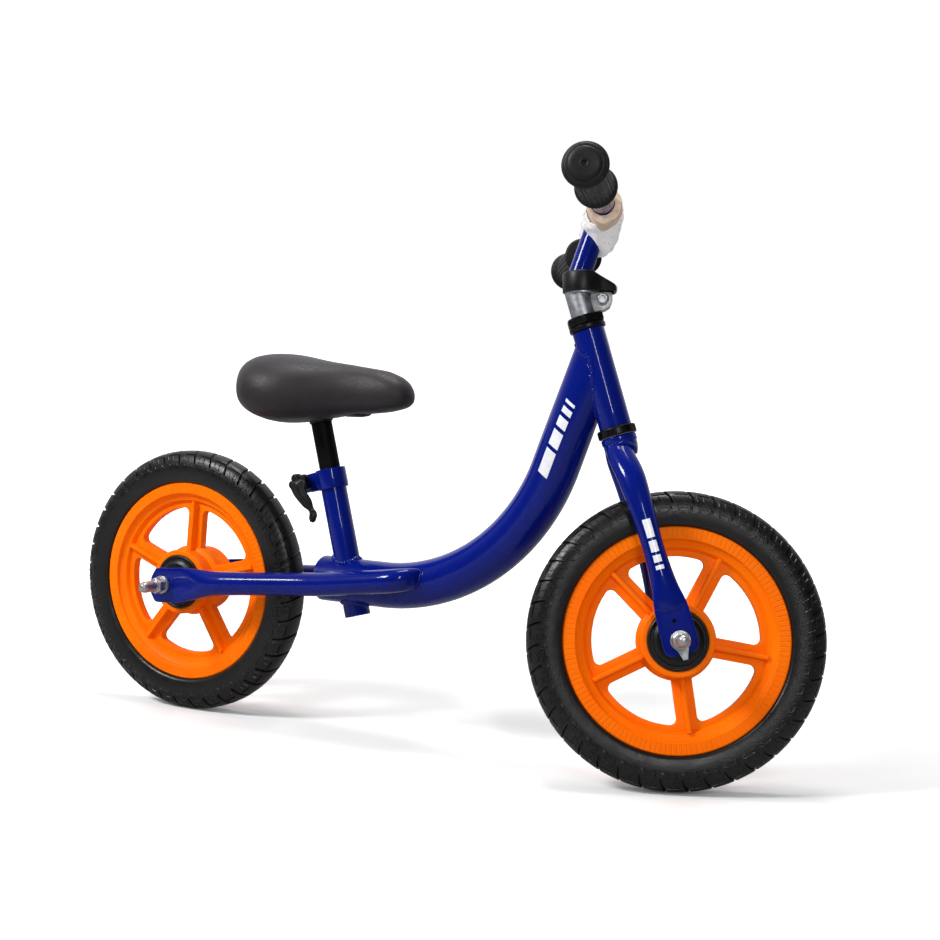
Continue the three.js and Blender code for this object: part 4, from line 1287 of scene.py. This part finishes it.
def main_surface(u, v):
    """Main tube: u along its centre line in mm, v degrees round it from its right side."""
    centre = np.array([np.interp(u, PATH_LENGTH, PATH[:, k]) for k in range(3)])
    ahead = np.array([np.interp(u + 1, PATH_LENGTH, PATH[:, k]) for k in range(3)]) - centre
    ahead /= np.linalg.norm(ahead)
    up = np.cross((0, 1, 0), ahead)
    angle = math.radians(v)
    normal = -math.cos(angle) * np.array([0, 1, 0]) - math.sin(angle) * up
    return squeezed(centre + MAIN_RADIUS * normal), normal


BLADE_FINE = resampled(BLADE, 12)


def blade_surface(u, v):
    """Right fork blade: u along the steering axis, v degrees round it from its right side."""
    columns = BLADE_FINE[::-1]
    out, forward, half, thick = (np.interp(u, columns[:, 0], columns[:, k]) for k in (1, 2, 3, 4))
    angle = math.radians(v)
    point = np.array([forward + half * math.sin(angle), -out - thick * math.cos(angle), u])
    return point, np.array([math.sin(angle), -math.cos(angle), 0])


def marks():
    start, stripes = 318.0, []
    for length in (26, 16, 10, 6, 3):
        stripes.append(slab(main_surface, start, start + length, -14, 14, slant=0.12))
        start += length + 4
    piece("main_tube_stripes", merged(*stripes), BIKE, "white_mark", "frame", sharp=30)
    start, stripes = 118.0, []
    for length in (18, 11, 7, 4):
        stripes.append(slab(blade_surface, start - length, start, -20, 20, lift=0.5))
        start -= length + 3
    piece("fork_stripes", merged(*stripes), FORK, "white_mark", "fork", sharp=30)


marks()


# ---- floor, lights and camera
def floor():
    """A pale floor that glows more the further it is from the object."""
    mesh = bpy.data.meshes.new("floor")
    corners = ((-1, -1), (1, -1), (1, 1), (-1, 1))
    mesh.from_pydata([(x * FLOOR_REACH, y * FLOOR_REACH, 0) for x, y in corners], [],
                     [[0, 1, 2, 3]])
    material, shader = principled("floor_white", (0.93, 0.93, 0.935), 0.8, Specular_IOR_Level=0.1,
                                  Emission_Color=(1, 1, 1, 1))
    tree = material.node_tree
    rays = node(tree, "LightPath")
    place = node(tree, "TexCoord")
    away = node(tree, "VectorMath", "LENGTH")
    glow = node(tree, "MapRange", From_Min=0.5, From_Max=2.0, To_Min=0.04, To_Max=1.0)
    seen = node(tree, "Math", "MULTIPLY")
    tone = node(tree, "MapRange", To_Min=0.4, To_Max=0.93)
    linked(tree, (place.outputs["Object"], away.inputs[0]),
           (away.outputs["Value"], glow.inputs["Value"]),
           (glow.outputs["Result"], seen.inputs[0]),
           (rays.outputs["Is Camera Ray"], seen.inputs[1]),
           (seen.outputs["Value"], shader.inputs["Emission Strength"]),
           (rays.outputs["Is Camera Ray"], tone.inputs["Value"]),
           (tone.outputs["Result"], shader.inputs["Base Color"]))
    mesh.materials.append(material)
    obj = placed("floor", mesh)
    obj.location.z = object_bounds()[0][2] - 0.0002
    obj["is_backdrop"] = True


def area_light(name, at, target, size, power, stretch=1.0):
    light = bpy.data.lights.new(name, "AREA")
    light.shape = "RECTANGLE"
    light.size = size
    light.size_y = size * stretch
    light.energy = power
    obj = placed(name, light)
    obj.location = at
    obj.rotation_euler = (Vector(target) - Vector(at)).to_track_quat("-Z", "Y").to_euler()


BACKDROP = Vector((-0.48, 0.87, 0.1))  # the bright side of the studio


def lighting():
    """White all round to the eye, a softer fill, and brightest in reflections on one side."""
    world = bpy.data.worlds.new("studio")
    world.use_nodes = True
    tree = world.node_tree
    fill = tree.nodes["Background"]
    fill.inputs["Color"].default_value = (1, 1, 1, 1)
    fill.inputs["Strength"].default_value = 0.42
    white = node(tree, "Background", Color=(1, 1, 1, 1), Strength=1.02)
    room = node(tree, "Background", Color=(0.93, 0.93, 1, 1))
    direction = node(tree, "TexCoord")
    toward = node(tree, "VectorMath", "DOT_PRODUCT")
    toward.inputs[1].default_value = BACKDROP
    fade = node(tree, "MapRange", From_Min=-0.1, From_Max=0.75, To_Min=0.05, To_Max=0.9)
    rays = node(tree, "LightPath")
    glossy = node(tree, "MixShader")
    seen = node(tree, "MixShader")
    linked(tree, (direction.outputs["Generated"], toward.inputs[0]),
           (toward.outputs["Value"], fade.inputs["Value"]),
           (fade.outputs["Result"], room.inputs["Strength"]),
           (rays.outputs["Is Glossy Ray"], glossy.inputs["Fac"]),
           (fill.outputs[0], glossy.inputs[1]),
           (room.outputs[0], glossy.inputs[2]),
           (rays.outputs["Is Camera Ray"], seen.inputs["Fac"]),
           (glossy.outputs[0], seen.inputs[1]),
           (white.outputs[0], seen.inputs[2]),
           (seen.outputs[0], tree.nodes["World Output"].inputs["Surface"]))
    bpy.context.scene.world = world
    bpy.context.scene.view_settings.view_transform = "Standard"
    area_light("key", (-1.2, -1.7, 1.9), (0, 0, 0.25), 0.6, 58)
    area_light("strip", (1.5, -2.0, 1.3), (0.2, 0, 0.35), 0.16, 16, 6.0)
    area_light("top", (-0.1, 0.2, 2.2), (0, 0, 0.2), 0.8, 26)


def camera():
    data = bpy.data.cameras.new("camera")
    data.lens = 69.65
    data.sensor_width = 36
    data.clip_end = 100
    obj = placed("camera", data)
    obj.location = (0.96007, -1.62186, 0.43136)
    obj.rotation_euler = [math.radians(a) for a in (85.6319, -2.1717, 29.2338)]
    bpy.context.scene.camera = obj


floor()
lighting()
camera()
